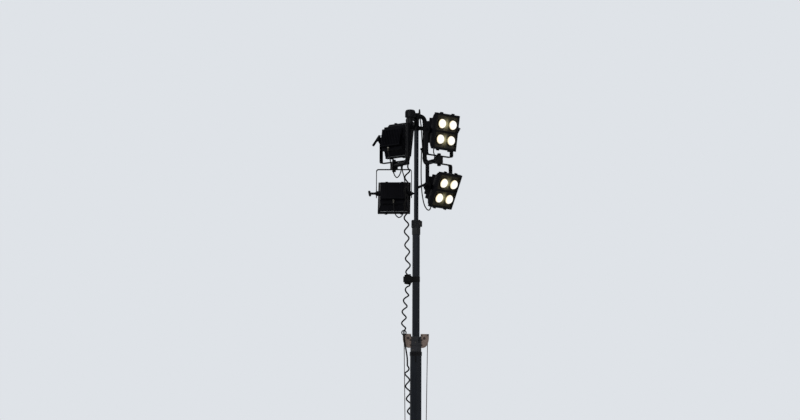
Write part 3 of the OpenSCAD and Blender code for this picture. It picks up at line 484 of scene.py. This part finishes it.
def curve_of(lines, closed=False):
    """A curve object with one straight-sided spline for each line of points."""
    data = bpy.data.curves.new("line", "CURVE")
    data.dimensions = "3D"
    for points in lines:
        spline = data.splines.new("POLY")
        spline.points.add(len(points) - 1)
        for held, p in zip(spline.points, points):
            held.co = (*p, 1)
        spline.use_cyclic_u = closed
    return stand("line", data)


def weld(name, lines, radius, material, body, closed=False):
    """Weld beads along lines."""
    made = arranged(name, curve_of(lines, closed), bead_tree,
                    {"Drop spacing": radius * 1.1, "Drop radius": radius, "Finish": material}, material)
    smoothed(made.data)
    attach(made, body)
    return made


def toward(degrees):
    """A level direction, counted from X towards Y."""
    return Vector((math.cos(math.radians(degrees)), math.sin(math.radians(degrees)), 0))


def above(z):
    """A step up."""
    return Vector((0, 0, z))


def hexagon_points(across, z):
    """Corners of a hexagon, from its width across flats."""
    return [across / math.sqrt(3) * toward(30 + 60 * k) + above(z) for k in range(6)]


FLANGE_TOP = 0.02
GUSSET_IN, GUSSET_OUT, GUSSET_HIGH = 0.059, 0.148, 0.166
TUBE_FACE = 0.0575
seams = []
for k in range(6):
    turn = Matrix.Rotation(math.radians(60 * k), 3, "Z")
    for y in (-0.0045, 0.0045):
        for ends in (((GUSSET_IN, y, FLANGE_TOP), (GUSSET_OUT, y, FLANGE_TOP)),
                     ((TUBE_FACE, y, FLANGE_TOP + 0.002), (TUBE_FACE, y, GUSSET_HIGH))):
            seams.append([turn @ Vector(end) for end in ends])
bead = weld("flange_gusset_welds", seams, 0.0032, galvanised, "base")
bead = weld("tube_foot_weld", [hexagon_points(0.117, FLANGE_TOP)], 0.004, galvanised, "base", closed=True)

# ---- Collar and clamp band on the base tube
# The guide collar is cast aluminium with machined grooves, the band under it folded black steel.
# Both are held by hexagon screws.
cast_collar = finish("coated_sand_cast_aluminium", "#1c1d21", "#2b2c32", 0.5, metallic=0.3, grain=2.2,
                     bump=0.12, stain=70, wear="#5a5656", shine=0.4)
paint(cast_collar, "base_collar")
band_black = finish("black_enamelled_band", "#09090b", "#121115", 0.4, grain=2, bump=0.03, stain=50,
                    wear="#1f1d20", shine=0.14)
paint(band_black, "clamp_band")

# Screw: a head with a chamfered top, on a washer, set on each point and turned the way it faces
screw_tree, given, result = group("screws", {
    "Sides": ("NodeSocketInt", 6), "Head radius": ("NodeSocketFloat", 0.006),
    "Head height": ("NodeSocketFloat", 0.005), "Washer radius": ("NodeSocketFloat", 0.009)})
height = given.outputs["Head height"]
shank = add(screw_tree, "GeometryNodeMeshCylinder", {"Vertices": given.outputs["Sides"],
                                                     "Radius": given.outputs["Head radius"], "Depth": height})
lift = add(screw_tree, "ShaderNodeCombineXYZ", {"Z": calc(screw_tree, "MULTIPLY", height, 0.5)})
head = add(screw_tree, "GeometryNodeTransform", {"Geometry": shank.outputs["Mesh"],
                                                 "Translation": lift.outputs[0]})
cone = add(screw_tree, "GeometryNodeMeshCone", {
    "Vertices": given.outputs["Sides"], "Radius Bottom": given.outputs["Head radius"],
    "Radius Top": calc(screw_tree, "MULTIPLY", given.outputs["Head radius"], 0.8),
    "Depth": calc(screw_tree, "MULTIPLY", height, 0.22)})
top = add(screw_tree, "ShaderNodeCombineXYZ", {"Z": height})
chamfer = add(screw_tree, "GeometryNodeTransform", {"Geometry": cone.outputs["Mesh"],
                                                    "Translation": top.outputs[0]})
washer = add(screw_tree, "GeometryNodeMeshCylinder", {
    "Vertices": 20, "Radius": given.outputs["Washer radius"], "Depth": 0.003})
whole = add(screw_tree, "GeometryNodeJoinGeometry")
for part in (head, chamfer, washer):
    screw_tree.links.new(part.outputs[0], whole.inputs[0])
facing = add(screw_tree, "GeometryNodeInputNamedAttribute", {"Name": "facing"}, data_type="FLOAT_VECTOR")
turned = add(screw_tree, "FunctionNodeAlignRotationToVector", {"Vector": facing.outputs["Attribute"]},
             axis="Z")
placed = add(screw_tree, "GeometryNodeInstanceOnPoints", {"Points": given.outputs["Geometry"],
                                                          "Instance": whole.outputs[0],
                                                          "Rotation": turned.outputs[0]})
deliver(screw_tree, placed.outputs["Instances"], given, result)

zinc = finish("zinc_plated_screw", "#3c3b3a", "#55534f", 0.42, metallic=0.9, grain=1.5, bump=0.02, stain=20)


def screws(name, places, radius, material, body, sides=6, height=None, washer=1.5):
    """Screw heads at places, each a point in metres and the way that the head faces."""
    mesh = bpy.data.meshes.new(name)
    mesh.from_pydata([tuple(p) for p, _ in places], [], [])
    facing = mesh.attributes.new("facing", "FLOAT_VECTOR", "POINT")
    for k, (_, way) in enumerate(places):
        facing.data[k].vector = way
    made = arranged(name, stand(name + "_points", mesh), screw_tree, {
        "Sides": sides, "Head radius": radius, "Head height": height or radius * 0.9,
        "Washer radius": radius * washer, "Finish": material}, material)
    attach(made, body)
    return made


places = []
for k in (1, 2, 4):
    way, across = toward(60 * k), toward(60 * k + 90)
    for z, aside in ((3.018, -0.014), (3.098, 0.017), (3.150, -0.014)):
        places.append((way * 0.055 + across * aside + above(z), way))
fitted = screws("collar_screws", places, 0.0062, zinc, "base")
places = []
for degrees in (-120, -60, 60, 120):
    way, across = toward(degrees), toward(degrees + 90)
    for aside in (-0.019, 0.019):
        places.append((way * 0.0615 + across * aside + above(2.978), way))
fitted = screws("band_screws", places, 0.0055, band_black, "base")

# ---- Cheek plates, sheaves and hoist ropes
# Two pairs of sawn aluminium plates carry brown-primed sheaves. A greased steel rope runs up each
# side, over its sheave and down inside the mast to lift the tubes.
cheek_plate = finish("mill_finish_aluminium_plate", "#8f7d73", "#a69388", 0.42, metallic=0.65, grain=1.4,
                     bump=0.03, stretch=(0.08, 1, 1), stain=80, wear="#78695f")
paint(cheek_plate, "cheek_plates")
sheave_brown = finish("brown_primed_steel", "#2c2120", "#3f302d", 0.55, grain=1.8, bump=0.05, stain=30,
                      wear="#8b7f78")
paint(sheave_brown, "sheaves")
places = [(Vector((x * 0.064, y * 0.016, z)), Vector((0, y, 0)))
          for x in (-1, 1) for y in (-1, 1) for z in (3.072, 3.128, 3.176)]
fitted = screws("cheek_plate_screws", places, 0.0052, zinc, "base")

# Laid rope: strands round a core, so the section is lobed and turns once in each lay length
ROPE_STEP = 0.004
rope_tree, given, result = group("laid_rope", {
    "Rope radius": ("NodeSocketFloat", 0.0045), "Lay length": ("NodeSocketFloat", 0.05),
    "Strands": ("NodeSocketInt", 6)})
steps = add(rope_tree, "GeometryNodeResampleCurve", {"Curve": given.outputs["Geometry"],
                                                     "Length": ROPE_STEP}, mode="LENGTH")
far = add(rope_tree, "GeometryNodeSplineParameter")
turns = calc(rope_tree, "DIVIDE", far.outputs["Length"], given.outputs["Lay length"])
twisted = add(rope_tree, "GeometryNodeSetCurveTilt", {
    "Curve": steps.outputs["Curve"], "Tilt": calc(rope_tree, "MULTIPLY", turns, 2 * math.pi)})
ROUND = 36
ring = add(rope_tree, "GeometryNodeCurvePrimitiveCircle", {"Resolution": ROUND,
                                                          "Radius": given.outputs["Rope radius"]})
index = add(rope_tree, "GeometryNodeInputIndex")
phase = calc(rope_tree, "MULTIPLY", index.outputs[0], given.outputs["Strands"])
wave = calc(rope_tree, "COSINE", calc(rope_tree, "MULTIPLY", phase, 2 * math.pi / ROUND))
spot = add(rope_tree, "GeometryNodeInputPosition")
drawn = add(rope_tree, "ShaderNodeVectorMath", {0: spot.outputs[0]}, operation="SCALE")
rope_tree.links.new(remap(rope_tree, wave, -1.0, 1.0, 0.82, 1.0), drawn.inputs["Scale"])
section = add(rope_tree, "GeometryNodeSetPosition", {"Geometry": ring.outputs["Curve"],
                                                     "Position": drawn.outputs[0]})
laid = add(rope_tree, "GeometryNodeCurveToMesh", {"Curve": twisted.outputs[0], "Fill Caps": True,
                                                  "Profile Curve": section.outputs["Geometry"]})
deliver(rope_tree, laid.outputs["Mesh"], given, result)

rope_wire = finish("greased_wire_rope", "#2a1e19", "#46362f", 0.5, metallic=0.2, grain=0.9, bump=0.06,
                   stain=40, wear="#1d1613", shine=0.3)
ROPE = 0.0045
SHEAVE, SHEAVE_R = Vector((0.089, 0, 3.148)), 0.041
POCKET_TOP = 3.0875
FOOT_X = 0.0995
DRUM, LAYER_R = Vector((0.133, 0, 1.0)), 0.035
WOUND, WINDS, WIND_STEPS = 0.0524, 5.8, 240


def rope_route(foot, side):
    """Up from the foot, half round the sheave and down into the collar's pocket."""
    reach = foot - SHEAVE
    touch = math.acos(SHEAVE_R / reach.length) + math.atan2(reach.z, reach.x)
    over = [SHEAVE + SHEAVE_R * Vector((math.cos(a), 0, math.sin(a)))
            for a in (touch + (math.pi - touch) * k / 30 for k in range(31))]
    line = [foot] + over + [Vector((SHEAVE.x - SHEAVE_R, 0, POCKET_TOP))]
    return evenly([Vector((side * p.x, p.y, p.z)) for p in line], ROPE_STEP)


winding = []
for k in range(WIND_STEPS + 1):
    share = k / WIND_STEPS
    a = 2 * math.pi * WINDS * share
    winding.append(DRUM + Vector((LAYER_R * math.cos(a), WOUND * (share - 0.5), LAYER_R * math.sin(a))))
for name, route in (("hoist_rope_right", rope_route(Vector((FOOT_X, 0, 1.0)), 1)),
                    ("hoist_rope_left", rope_route(Vector((FOOT_X, 0, 1.0253)), -1)),
                    ("hoist_rope_winding", winding)):
    made = arranged(name, curve_of([route]), rope_tree,
                    {"Rope radius": ROPE, "Lay length": 0.055, "Strands": 6, "Finish": rope_wire}, rope_wire)
    smoothed(made.data)
    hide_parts("hoist_rope")
    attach(made, "base")

# ---- Winch, rope anchor and junction box
# The winch's cheeks and drum are galvanised, its crank black with a turned plastic grip. The box is
# moulded in grey plastic, with a screwed lid.
black_steel = finish("black_powder_coated_steel", "#060609", "#0d0d12", 0.45, grain=1.6, bump=0.06, stain=90,
                     wear="#17171a", dust="#1b1b1d", shine=0.1)
paint(black_steel, "cord_hook", "winch_crank", "mast_cap", "arm_left", "arm_right", "clamp_left",
      "clamp_right")
box_plastic = finish("moulded_grey_abs", "#5d6062", "#6c6f70", 0.5, grain=0.9, bump=0.05, stain=150,
                     dust="#8b8a86")
paint(box_plastic, "junction_box")


def lathe(outline, at, way, sides=32):
    """Vertices and faces of an outline (distance along, radius) turned round an axis."""
    way = Vector(way).normalized()
    u = way.orthogonal().normalized()
    verts = [p for along, radius in outline
             for p in circle(Vector(at) + way * along, radius, u, way.cross(u), sides)]
    return verts, skin(len(outline), sides) + caps(len(outline), sides)


def block(low, high, radius, turn=Matrix.Identity(4)):
    """Vertices and faces of a box with bevelled edges."""
    work = bmesh.new()
    bmesh.ops.create_cube(work, size=1)
    size = Vector(high) - Vector(low)
    middle = (Vector(high) + Vector(low)) / 2
    for v in work.verts:
        v.co = Vector((v.co.x * size.x, v.co.y * size.y, v.co.z * size.z)) + middle
    bmesh.ops.bevel(work, geom=work.edges[:], offset=radius, segments=3, profile=0.5, affect="EDGES")
    work.verts.index_update()
    verts = [turn @ v.co for v in work.verts]
    faces = [tuple(v.index for v in f.verts) for f in work.faces]
    work.free()
    return verts, faces


def together(*parts):
    """Several shapes as one list of vertices and one of faces."""
    verts, faces = [], []
    for part_verts, part_faces in parts:
        start = len(verts)
        verts += part_verts
        faces += [tuple(start + i for i in f) for f in part_faces]
    return verts, faces


lid = piece("junction_box_lid", *together(
    block((-0.083, 0.1585, 0.927), (0.083, 0.1645, 1.143), 0.002),
    block((-0.07, 0.16, 0.94), (0.07, 0.1665, 1.13), 0.003)), box_plastic)
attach(lid, "base")
places = [(Vector((x, 0.1645, z)), Vector((0, 1, 0))) for x in (-0.0765, 0.0765) for z in (0.9335, 1.1365)]
fitted = screws("junction_box_screws", places, 0.0042, zinc, "base", sides=20, height=0.0025, washer=1.2)

grip = piece("crank_grip", *lathe(
    [(0, 0.009), (0.001, 0.0165), (0.006, 0.0185), (0.02, 0.0162), (0.045, 0.0172), (0.072, 0.0185),
     (0.086, 0.0172), (0.09, 0.013), (0.0905, 0.004)],
    Vector((0.133, -0.116, 1.0)) + Matrix.Rotation(math.radians(25), 3, "Y") @ Vector((0, 0, -0.21)),
    (0, -1, 0)), band_black)
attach(grip, "base")
places = [(Vector((0.0635, y, z)), Vector((1, 0, 0))) for y in (-0.036, 0.036) for z in (0.905, 1.095)]
places += [(Vector((-0.0655, y, z)), Vector((-1, 0, 0))) for y in (-0.02, 0.02) for z in (0.866, 0.936)]
fitted = screws("winch_screws", places, 0.007, zinc, "base")

# ---- Middle collar
# A cast sleeve guides the top tube. The split round clamp above it has ears with a through bolt, which
# hold the tube at its height.
collar_dark = finish("weathered_cast_aluminium", "#121415", "#1f2223", 0.52, metallic=0.2, grain=2.2,
                     bump=0.12, stain=60, wear="#3d4040", shine=0.3)
paint(collar_dark, "middle_collar")
way = toward(50)
ear = toward(-40) * 0.054 + above(4.401)
places = [(ear + way * 0.014, way), (ear - way * 0.014, -way)]
fitted = screws("middle_collar_bolt", places, 0.008, zinc, "middle")

# ---- Photocell and top pin
# A dark plastic drum with a ribbed skirt on the cap's bracket switches the lamps at dusk. Beside it
# a short pin stands on the cap.
cell_plastic = finish("moulded_dark_nylon", "#0d0d10", "#17171a", 0.5, grain=0.8, bump=0.05, stain=60,
                      dust="#1f1f21", shine=0.15)
CELL = Vector((-0.091, -0.126, 5.564))
outline = [(-0.062, 0.027), (-0.061, 0.03), (-0.022, 0.03), (-0.02, 0.037), (-0.004, 0.037), (-0.002, 0.03),
           (0, 0.054), (0.002, 0.0575), (0.011, 0.0575), (0.013, 0.0555), (0.048, 0.0555), (0.05, 0.0575),
           (0.058, 0.0575), (0.06, 0.0555), (0.072, 0.053), (0.081, 0.043), (0.085, 0.026), (0.086, 0.009)]
RIBS = 28
ribs = []
for k in range(RIBS):
    turn = Matrix.Translation(CELL) @ Matrix.Rotation(2 * math.pi * k / RIBS, 4, "Z")
    ribs.append(block((0.0545, -0.0012, 0.013), (0.0572, 0.0012, 0.048), 0.0004, turn))
cell = piece("photocell_drum", *together(lathe(outline, CELL, (0, 0, 1), 48), *ribs), cell_plastic)
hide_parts("photocell")
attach(cell, "top")

# Tapered rubber boot on the pin
PIN_OUT, PIN_FOOT = 0.039, 5.632
boot = piece("pin_boot", *lathe(
    [(0, 0.0095), (0.001, 0.012), (0.007, 0.0125), (0.01, 0.0112), (0.03, 0.0095), (0.044, 0.0082),
     (0.0475, 0.006), (0.048, 0.002)],
    SHOULDER.normalized() * PIN_OUT + above(PIN_FOOT), (0, 0, 1), 24), cord_rubber)
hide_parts("top_pin")
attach(boot, "top")

# ---- Lamp heads
# Four heads, each a cast black housing in a flat steel yoke. The front is a black frame with a bar
# across it, screwed on, with a brassy pressed tray behind it and four sealed lamps with fluted
# glass. A T handle clamps the tilt.
housing_cast = finish("black_coated_cast_aluminium", "#050509", "#0c0c12", 0.5, grain=2.0, bump=0.1, stain=80,
                      wear="#141418", dust="#18181b", shine=0.09)
for side in SIDES:
    paint(housing_cast, "housing_" + side)
    paint(black_steel, "yoke_" + side, "handle_" + side)

# Pressed sheet: satin brass under brown soot, with a painted pool of lamp light that is brightest between the
# two lamps of a row
tray_sheet = finish("soiled_brassy_sheet", "#1a160b", "#3c351c", 0.4, metallic=0.2, grain=3.0, bump=0.04,
                    stain=70, wear="#110f09", shine=0.4)
tree = tray_sheet.node_tree
shader = tree.nodes["Principled BSDF"]
sooty = shader.inputs["Base Color"].links[0].from_socket
# Painted lamp light: pale yellow is mixed in where the lamps would light the sheet
clean = add(tree, "ShaderNodeAttribute", attribute_name="clean").outputs["Fac"]
tree.links.new(mixed(tree, clean, sooty, linear("#f2ebbf")), shader.inputs["Base Color"])
# Painted lamp light: the sheet also glows faintly in the same pool, standing in for the lamps, which on the
# real head are far brighter than the white of a picture
tree.links.new(calc(tree, "MULTIPLY", clean, 0.15), shader.inputs["Emission Strength"])
shader.inputs["Emission Color"].default_value = linear("#e0d6a4")

# Fluted glass in front of a lit filament: near white in the middle, warmer towards the rim
lamp_glass, tree, shader = blank("fluted_lit_lamp_glass")
polar = add(tree, "ShaderNodeUVMap", uv_map="polar")
split = add(tree, "ShaderNodeSeparateXYZ", {"Vector": polar.outputs["UV"]})
fade = add(tree, "ShaderNodeValToRGB", {"Fac": split.outputs["X"]})
ramp = fade.color_ramp.elements
ramp[0].position, ramp[0].color = 0.0, linear("#fffdf6")
ramp[1].position, ramp[1].color = 1.0, linear("#e6d3a8")
for position, colour in ((0.78, "#fffcf2"), (0.95, "#fff4dc")):
    made = ramp.new(position)
    made.color = linear(colour)
FLUTES, RINGS = 36, 7
flutes = calc(tree, "SINE", calc(tree, "MULTIPLY", split.outputs["Y"], 2 * math.pi * FLUTES))
rings = calc(tree, "SINE", calc(tree, "MULTIPLY", split.outputs["X"], 2 * math.pi * RINGS))
pattern = calc(tree, "MULTIPLY", flutes, rings)
relief = add(tree, "ShaderNodeBump", {"Height": pattern, "Distance": 0.0008, "Strength": 0.7})
lit = mixed(tree, 1.0, fade.outputs["Color"], remap(tree, pattern, -1.0, 1.0, 0.86), "MULTIPLY")
tree.links.new(lit, shader.inputs["Emission Color"])
tree.links.new(lit, shader.inputs["Base Color"])
tree.links.new(relief.outputs[0], shader.inputs["Normal"])
shader.inputs["Emission Strength"].default_value = 0.95
shader.inputs["Roughness"].default_value = 0.18
shader.inputs["Coat Weight"].default_value = 0.5

# Nickel-plated brass: smooth and bright, but dulled by weather
nickel = finish("nickel_plated_brass", "#6f6c64", "#8b887f", 0.3, metallic=0.9, grain=1.2, bump=0.02,
                stain=18)

# Millimetres from a head's pivot axis: X to the front, half widths and half heights
FRONT_X, FRAME_BACK, TRAY_X = 116, 78, 98
WIDE, HIGH = 180, 197
TRAY_WIDE, TRAY_HIGH = 158, 175
LAMP_Y, LAMP_Z = 83, 85
LAMP_RADIUS, LAMP_BULGE = 50, 37.5
LATCH_Y = 88
LAMPS = [(y, z) for y in (-LAMP_Y, LAMP_Y) for z in (-LAMP_Z, LAMP_Z)]


def ring_plate(turn):
    """Reflector tray: pressed sheet that dips to each lamp's ring, with walls up to the frame."""
    parts = []
    for cy, cz in LAMPS:
        low_y, high_y = (-TRAY_WIDE, 0) if cy < 0 else (0, TRAY_WIDE)
        low_z, high_z = (-TRAY_HIGH, 0) if cz < 0 else (0, TRAY_HIGH)
        edge, sides = [], 64
        for k in range(sides):
            a = 2 * math.pi * (k + 0.5) / sides
            c, s = math.cos(a), math.sin(a)
            edge.append((c, s, min(((high_y if c > 0 else low_y) - cy) / c,
                                   ((high_z if s > 0 else low_z) - cz) / s)))
        # Each row's radius and height over the tray's bottom. Those with none follow the tray's edge.
        verts = []
        rows = ((None, 13), (None, 1), (None, 0), (76, 0), (73, -1), (58, -1), (56.5, 0), (56, 4), (56, 15),
                (54.5, 16.5), (52, 17), (50.6, 15))
        for number, (radius, lift) in enumerate(rows):
            for c, s, reach in edge:
                r = reach * (1, 0.99, 0.975)[number] if radius is None else radius
                verts.append(turn @ mm(TRAY_X + lift, cy + r * c, cz + r * s))
        parts.append((verts, skin(len(rows), sides)))
    return together(*parts)


def lamp(turn, cy, cz):
    """One lamp's glass, domed, with its polar map: distance from the middle, and turn."""
    sides, rows = 48, 14
    verts, faces, polar = [], [], []
    for i in range(rows + 1):
        share = math.sin(math.pi / 2 * i / rows)
        for k in range(sides):
            a = 2 * math.pi * k / sides
            r = LAMP_RADIUS * share
            bulge = LAMP_BULGE * math.cos(math.pi / 2 * i / rows)
            verts.append(turn @ mm(FRONT_X - 2 + bulge, cy + r * math.cos(a), cz + r * math.sin(a)))
            polar.append((share, k / sides))
    for i in range(rows):
        for k in range(sides):
            n = (k + 1) % sides
            faces.append((i * sides + k, (i + 1) * sides + k, (i + 1) * sides + n, i * sides + n))
    return verts, faces, polar


def pair(low, high):
    """A range on the lower side of the middle and its like on the upper."""
    return (-high, -low), (low, high)


for number, side in enumerate(SIDES):
    turn = head_place(number)
    body = "head_" + side

    # Frame: folded walls, a lip in front, and the bar between the lamp rows, with rounded edges
    rails = [block(mm(FRONT_X - 7, -178, low), mm(FRONT_X, 178, high), 0.002, turn)
             for low, high in ((-HIGH, -173), (-11, 11), (173, HIGH))]
    rails += [block(mm(FRONT_X - 7, low, -195), mm(FRONT_X, high, 195), 0.002, turn)
              for low, high in pair(156, WIDE)]
    rails += [block(mm(FRAME_BACK, -WIDE, low), mm(FRONT_X - 2, WIDE, high), 0.003, turn)
              for low, high in pair(192, HIGH)]
    rails += [block(mm(FRAME_BACK, low, -HIGH), mm(FRONT_X - 2, high, HIGH), 0.003, turn)
              for low, high in pair(175, WIDE)]
    rails += [block(mm(FRAME_BACK, -178, low), mm(FRAME_BACK + 4, 178, high), 0.001, turn)
              for low, high in pair(173, 195)]
    rails += [block(mm(FRAME_BACK, low, -195), mm(FRAME_BACK + 4, high, 195), 0.001, turn)
              for low, high in pair(161, 178)]
    latches = [block(mm(FRONT_X - 34, y - 15, low), mm(FRONT_X - 6, y + 15, high), 0.004, turn)
               for y in (-LATCH_Y, LATCH_Y) for low, high in reversed(pair(HIGH, HIGH + 13))]
    latches += [lathe([(0, 0.003), (0.0006, 0.005), (0.0334, 0.005), (0.034, 0.003)],
                      turn @ mm(FRONT_X - 20, y - 17, z), turn.to_3x3() @ Vector((0, 1, 0)), 16)
                for y in (-LATCH_Y, LATCH_Y) for z in (-203, 203)]
    front = piece("front_frame_" + side, *together(*rails, *latches), black_steel)
    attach(front, body)
    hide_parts("front_" + side)

    # Hinge rod along the frame's lower edge, on which the frame swings open for a lamp change
    thin, thick = 0.0026, 0.0042
    hinge = [(0, 0.0015), (0.001, thin)]
    for start in (0.038, 0.138, 0.238):
        hinge += [(start, thin), (start, thick), (start + 0.024, thick), (start + 0.024, thin)]
    rod = piece("hinge_rod_" + side, *lathe(hinge + [(0.299, thin), (0.3, 0.0015)],
                                            turn @ mm(FRAME_BACK - 1.5, -150, -186),
                                            turn.to_3x3() @ Vector((0, 1, 0)), 16), galvanised)
    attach(rod, body)

    tray = piece("reflector_tray_" + side, *ring_plate(turn), tray_sheet)
    # Painted pool of lamp light, strongest between the two lamps of each row and fading away from them
    clean = tray.data.attributes.new("clean", "FLOAT", "POINT")
    for held, vertex in zip(clean.data, tray.data.vertices):
        at = turn.inverted() @ vertex.co * 1000
        held.value = math.exp(-((at.y / 30) ** 2) - ((abs(at.z) - LAMP_Z) / 42) ** 2)
    wall = tray.modifiers.new("sheet", "SOLIDIFY")
    wall.thickness, wall.offset = 0.0012, 0
    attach(tray, body)
    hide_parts("front_" + side)

    glass_parts, polar = [], []
    for cy, cz in LAMPS:
        verts, faces, values = lamp(turn, cy, cz)
        glass_parts.append((verts, faces))
        polar.append(values)
    verts, faces = together(*glass_parts)
    mesh = bpy.data.meshes.new("lamp_glass_" + side)
    mesh.from_pydata([tuple(v) for v in verts], [], faces)
    glass = stand("lamp_glass_" + side, mesh)
    values = [v for lamp_values in polar for v in lamp_values]
    layer = mesh.uv_layers.new(name="polar")
    for face in mesh.polygons:
        ks = [mesh.loops[i].vertex_index for i in face.loop_indices]
        wraps = max(values[k][1] for k in ks) - min(values[k][1] for k in ks) > 0.5
        for i in face.loop_indices:
            share, angle = values[mesh.loops[i].vertex_index]
            layer.data[i].uv = (share, angle + 1 if wraps and angle < 0.5 else angle)
    smoothed(mesh)
    mesh.materials.append(lamp_glass)
    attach(glass, body)
    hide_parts("lamps_" + side)

    places = []
    forward = turn.to_3x3() @ Vector((1, 0, 0))
    for y in (-168, 168):
        for z in (-185, -95, 0, 95, 185):
            places.append((turn @ mm(FRONT_X, y, z), forward))
    fitted = screws("front_screws_" + side, places, 0.0042, black_steel, body, sides=20, height=0.003,
                    washer=1.25)

    # Gland nut and the coils of the spring that keeps the cable from kinking
    coils = [(0.013 + 0.002 * k + step, r) for k in range(12) for step, r in ((0, 0.0068), (0.001, 0.008))]
    gland = piece("cable_gland_" + side, *lathe(
        [(0, 0.0105), (0.0005, 0.0135), (0.009, 0.0135), (0.0095, 0.012)] + coils + [(0.037, 0.0068)],
        turn @ mm(GLAND_X, GLAND_Y[number], GLAND_TOP), turn.to_3x3() @ Vector((0, 0, -1)), 24), nickel)
    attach(gland, body)

# ---- Floor, backdrop and light
# A plain pale floor under a pale sky, which both light the mast softly. A broad key light stands to
# the left, a soft fill to the right and a rim light behind.
FAR = 400
floor_mesh = bpy.data.meshes.new("floor")
floor_mesh.from_pydata([(-FAR, -FAR, 0), (FAR, -FAR, 0), (FAR, FAR, 0), (-FAR, FAR, 0)], [], [(0, 1, 2, 3)])
floor = stand("floor", floor_mesh)
pale, tree, shader = blank("pale_floor")
shader.inputs["Base Color"].default_value = linear("#d9dadb")
shader.inputs["Roughness"].default_value = 0.9
shader.inputs["Emission Color"].default_value = linear("#d9dadb")
seen = add(tree, "ShaderNodeLightPath").outputs["Is Camera Ray"]
tree.links.new(calc(tree, "MULTIPLY", seen, 0.42), shader.inputs["Emission Strength"])
floor_mesh.materials.append(pale)

world = bpy.data.worlds.new("studio")
bpy.context.scene.world = world
world.use_nodes = True
tree = world.node_tree
seen = add(tree, "ShaderNodeLightPath").outputs
plain = calc(tree, "MAXIMUM", seen["Is Camera Ray"], seen["Is Transmission Ray"])
backdrop = tree.nodes["Background"]
tree.links.new(mixed(tree, plain, linear("#c9ccd0"), linear("#dfe3e8")), backdrop.inputs["Color"])
tree.links.new(remap(tree, plain, 0.0, 1.0, 0.45), backdrop.inputs["Strength"])

for name, place, aim, size, watts in (
        ("key", (-7, -9, 9), (0, 0, 4.2), 5.0, 480),
        ("fill", (9, -7, 5), (0, 0, 3.5), 6.0, 170),
        ("rim", (-5, 9, 8), (0, 0, 4.5), 6.0, 110)):
    lamp_data = bpy.data.lights.new(name, "AREA")
    lamp_data.size, lamp_data.energy = size, watts
    light = stand(name, lamp_data)
    light.location = place
    light.rotation_euler = (Vector(aim) - Vector(place)).to_track_quat("-Z", "Y").to_euler()

bpy.context.scene.view_settings.view_transform = "Standard"
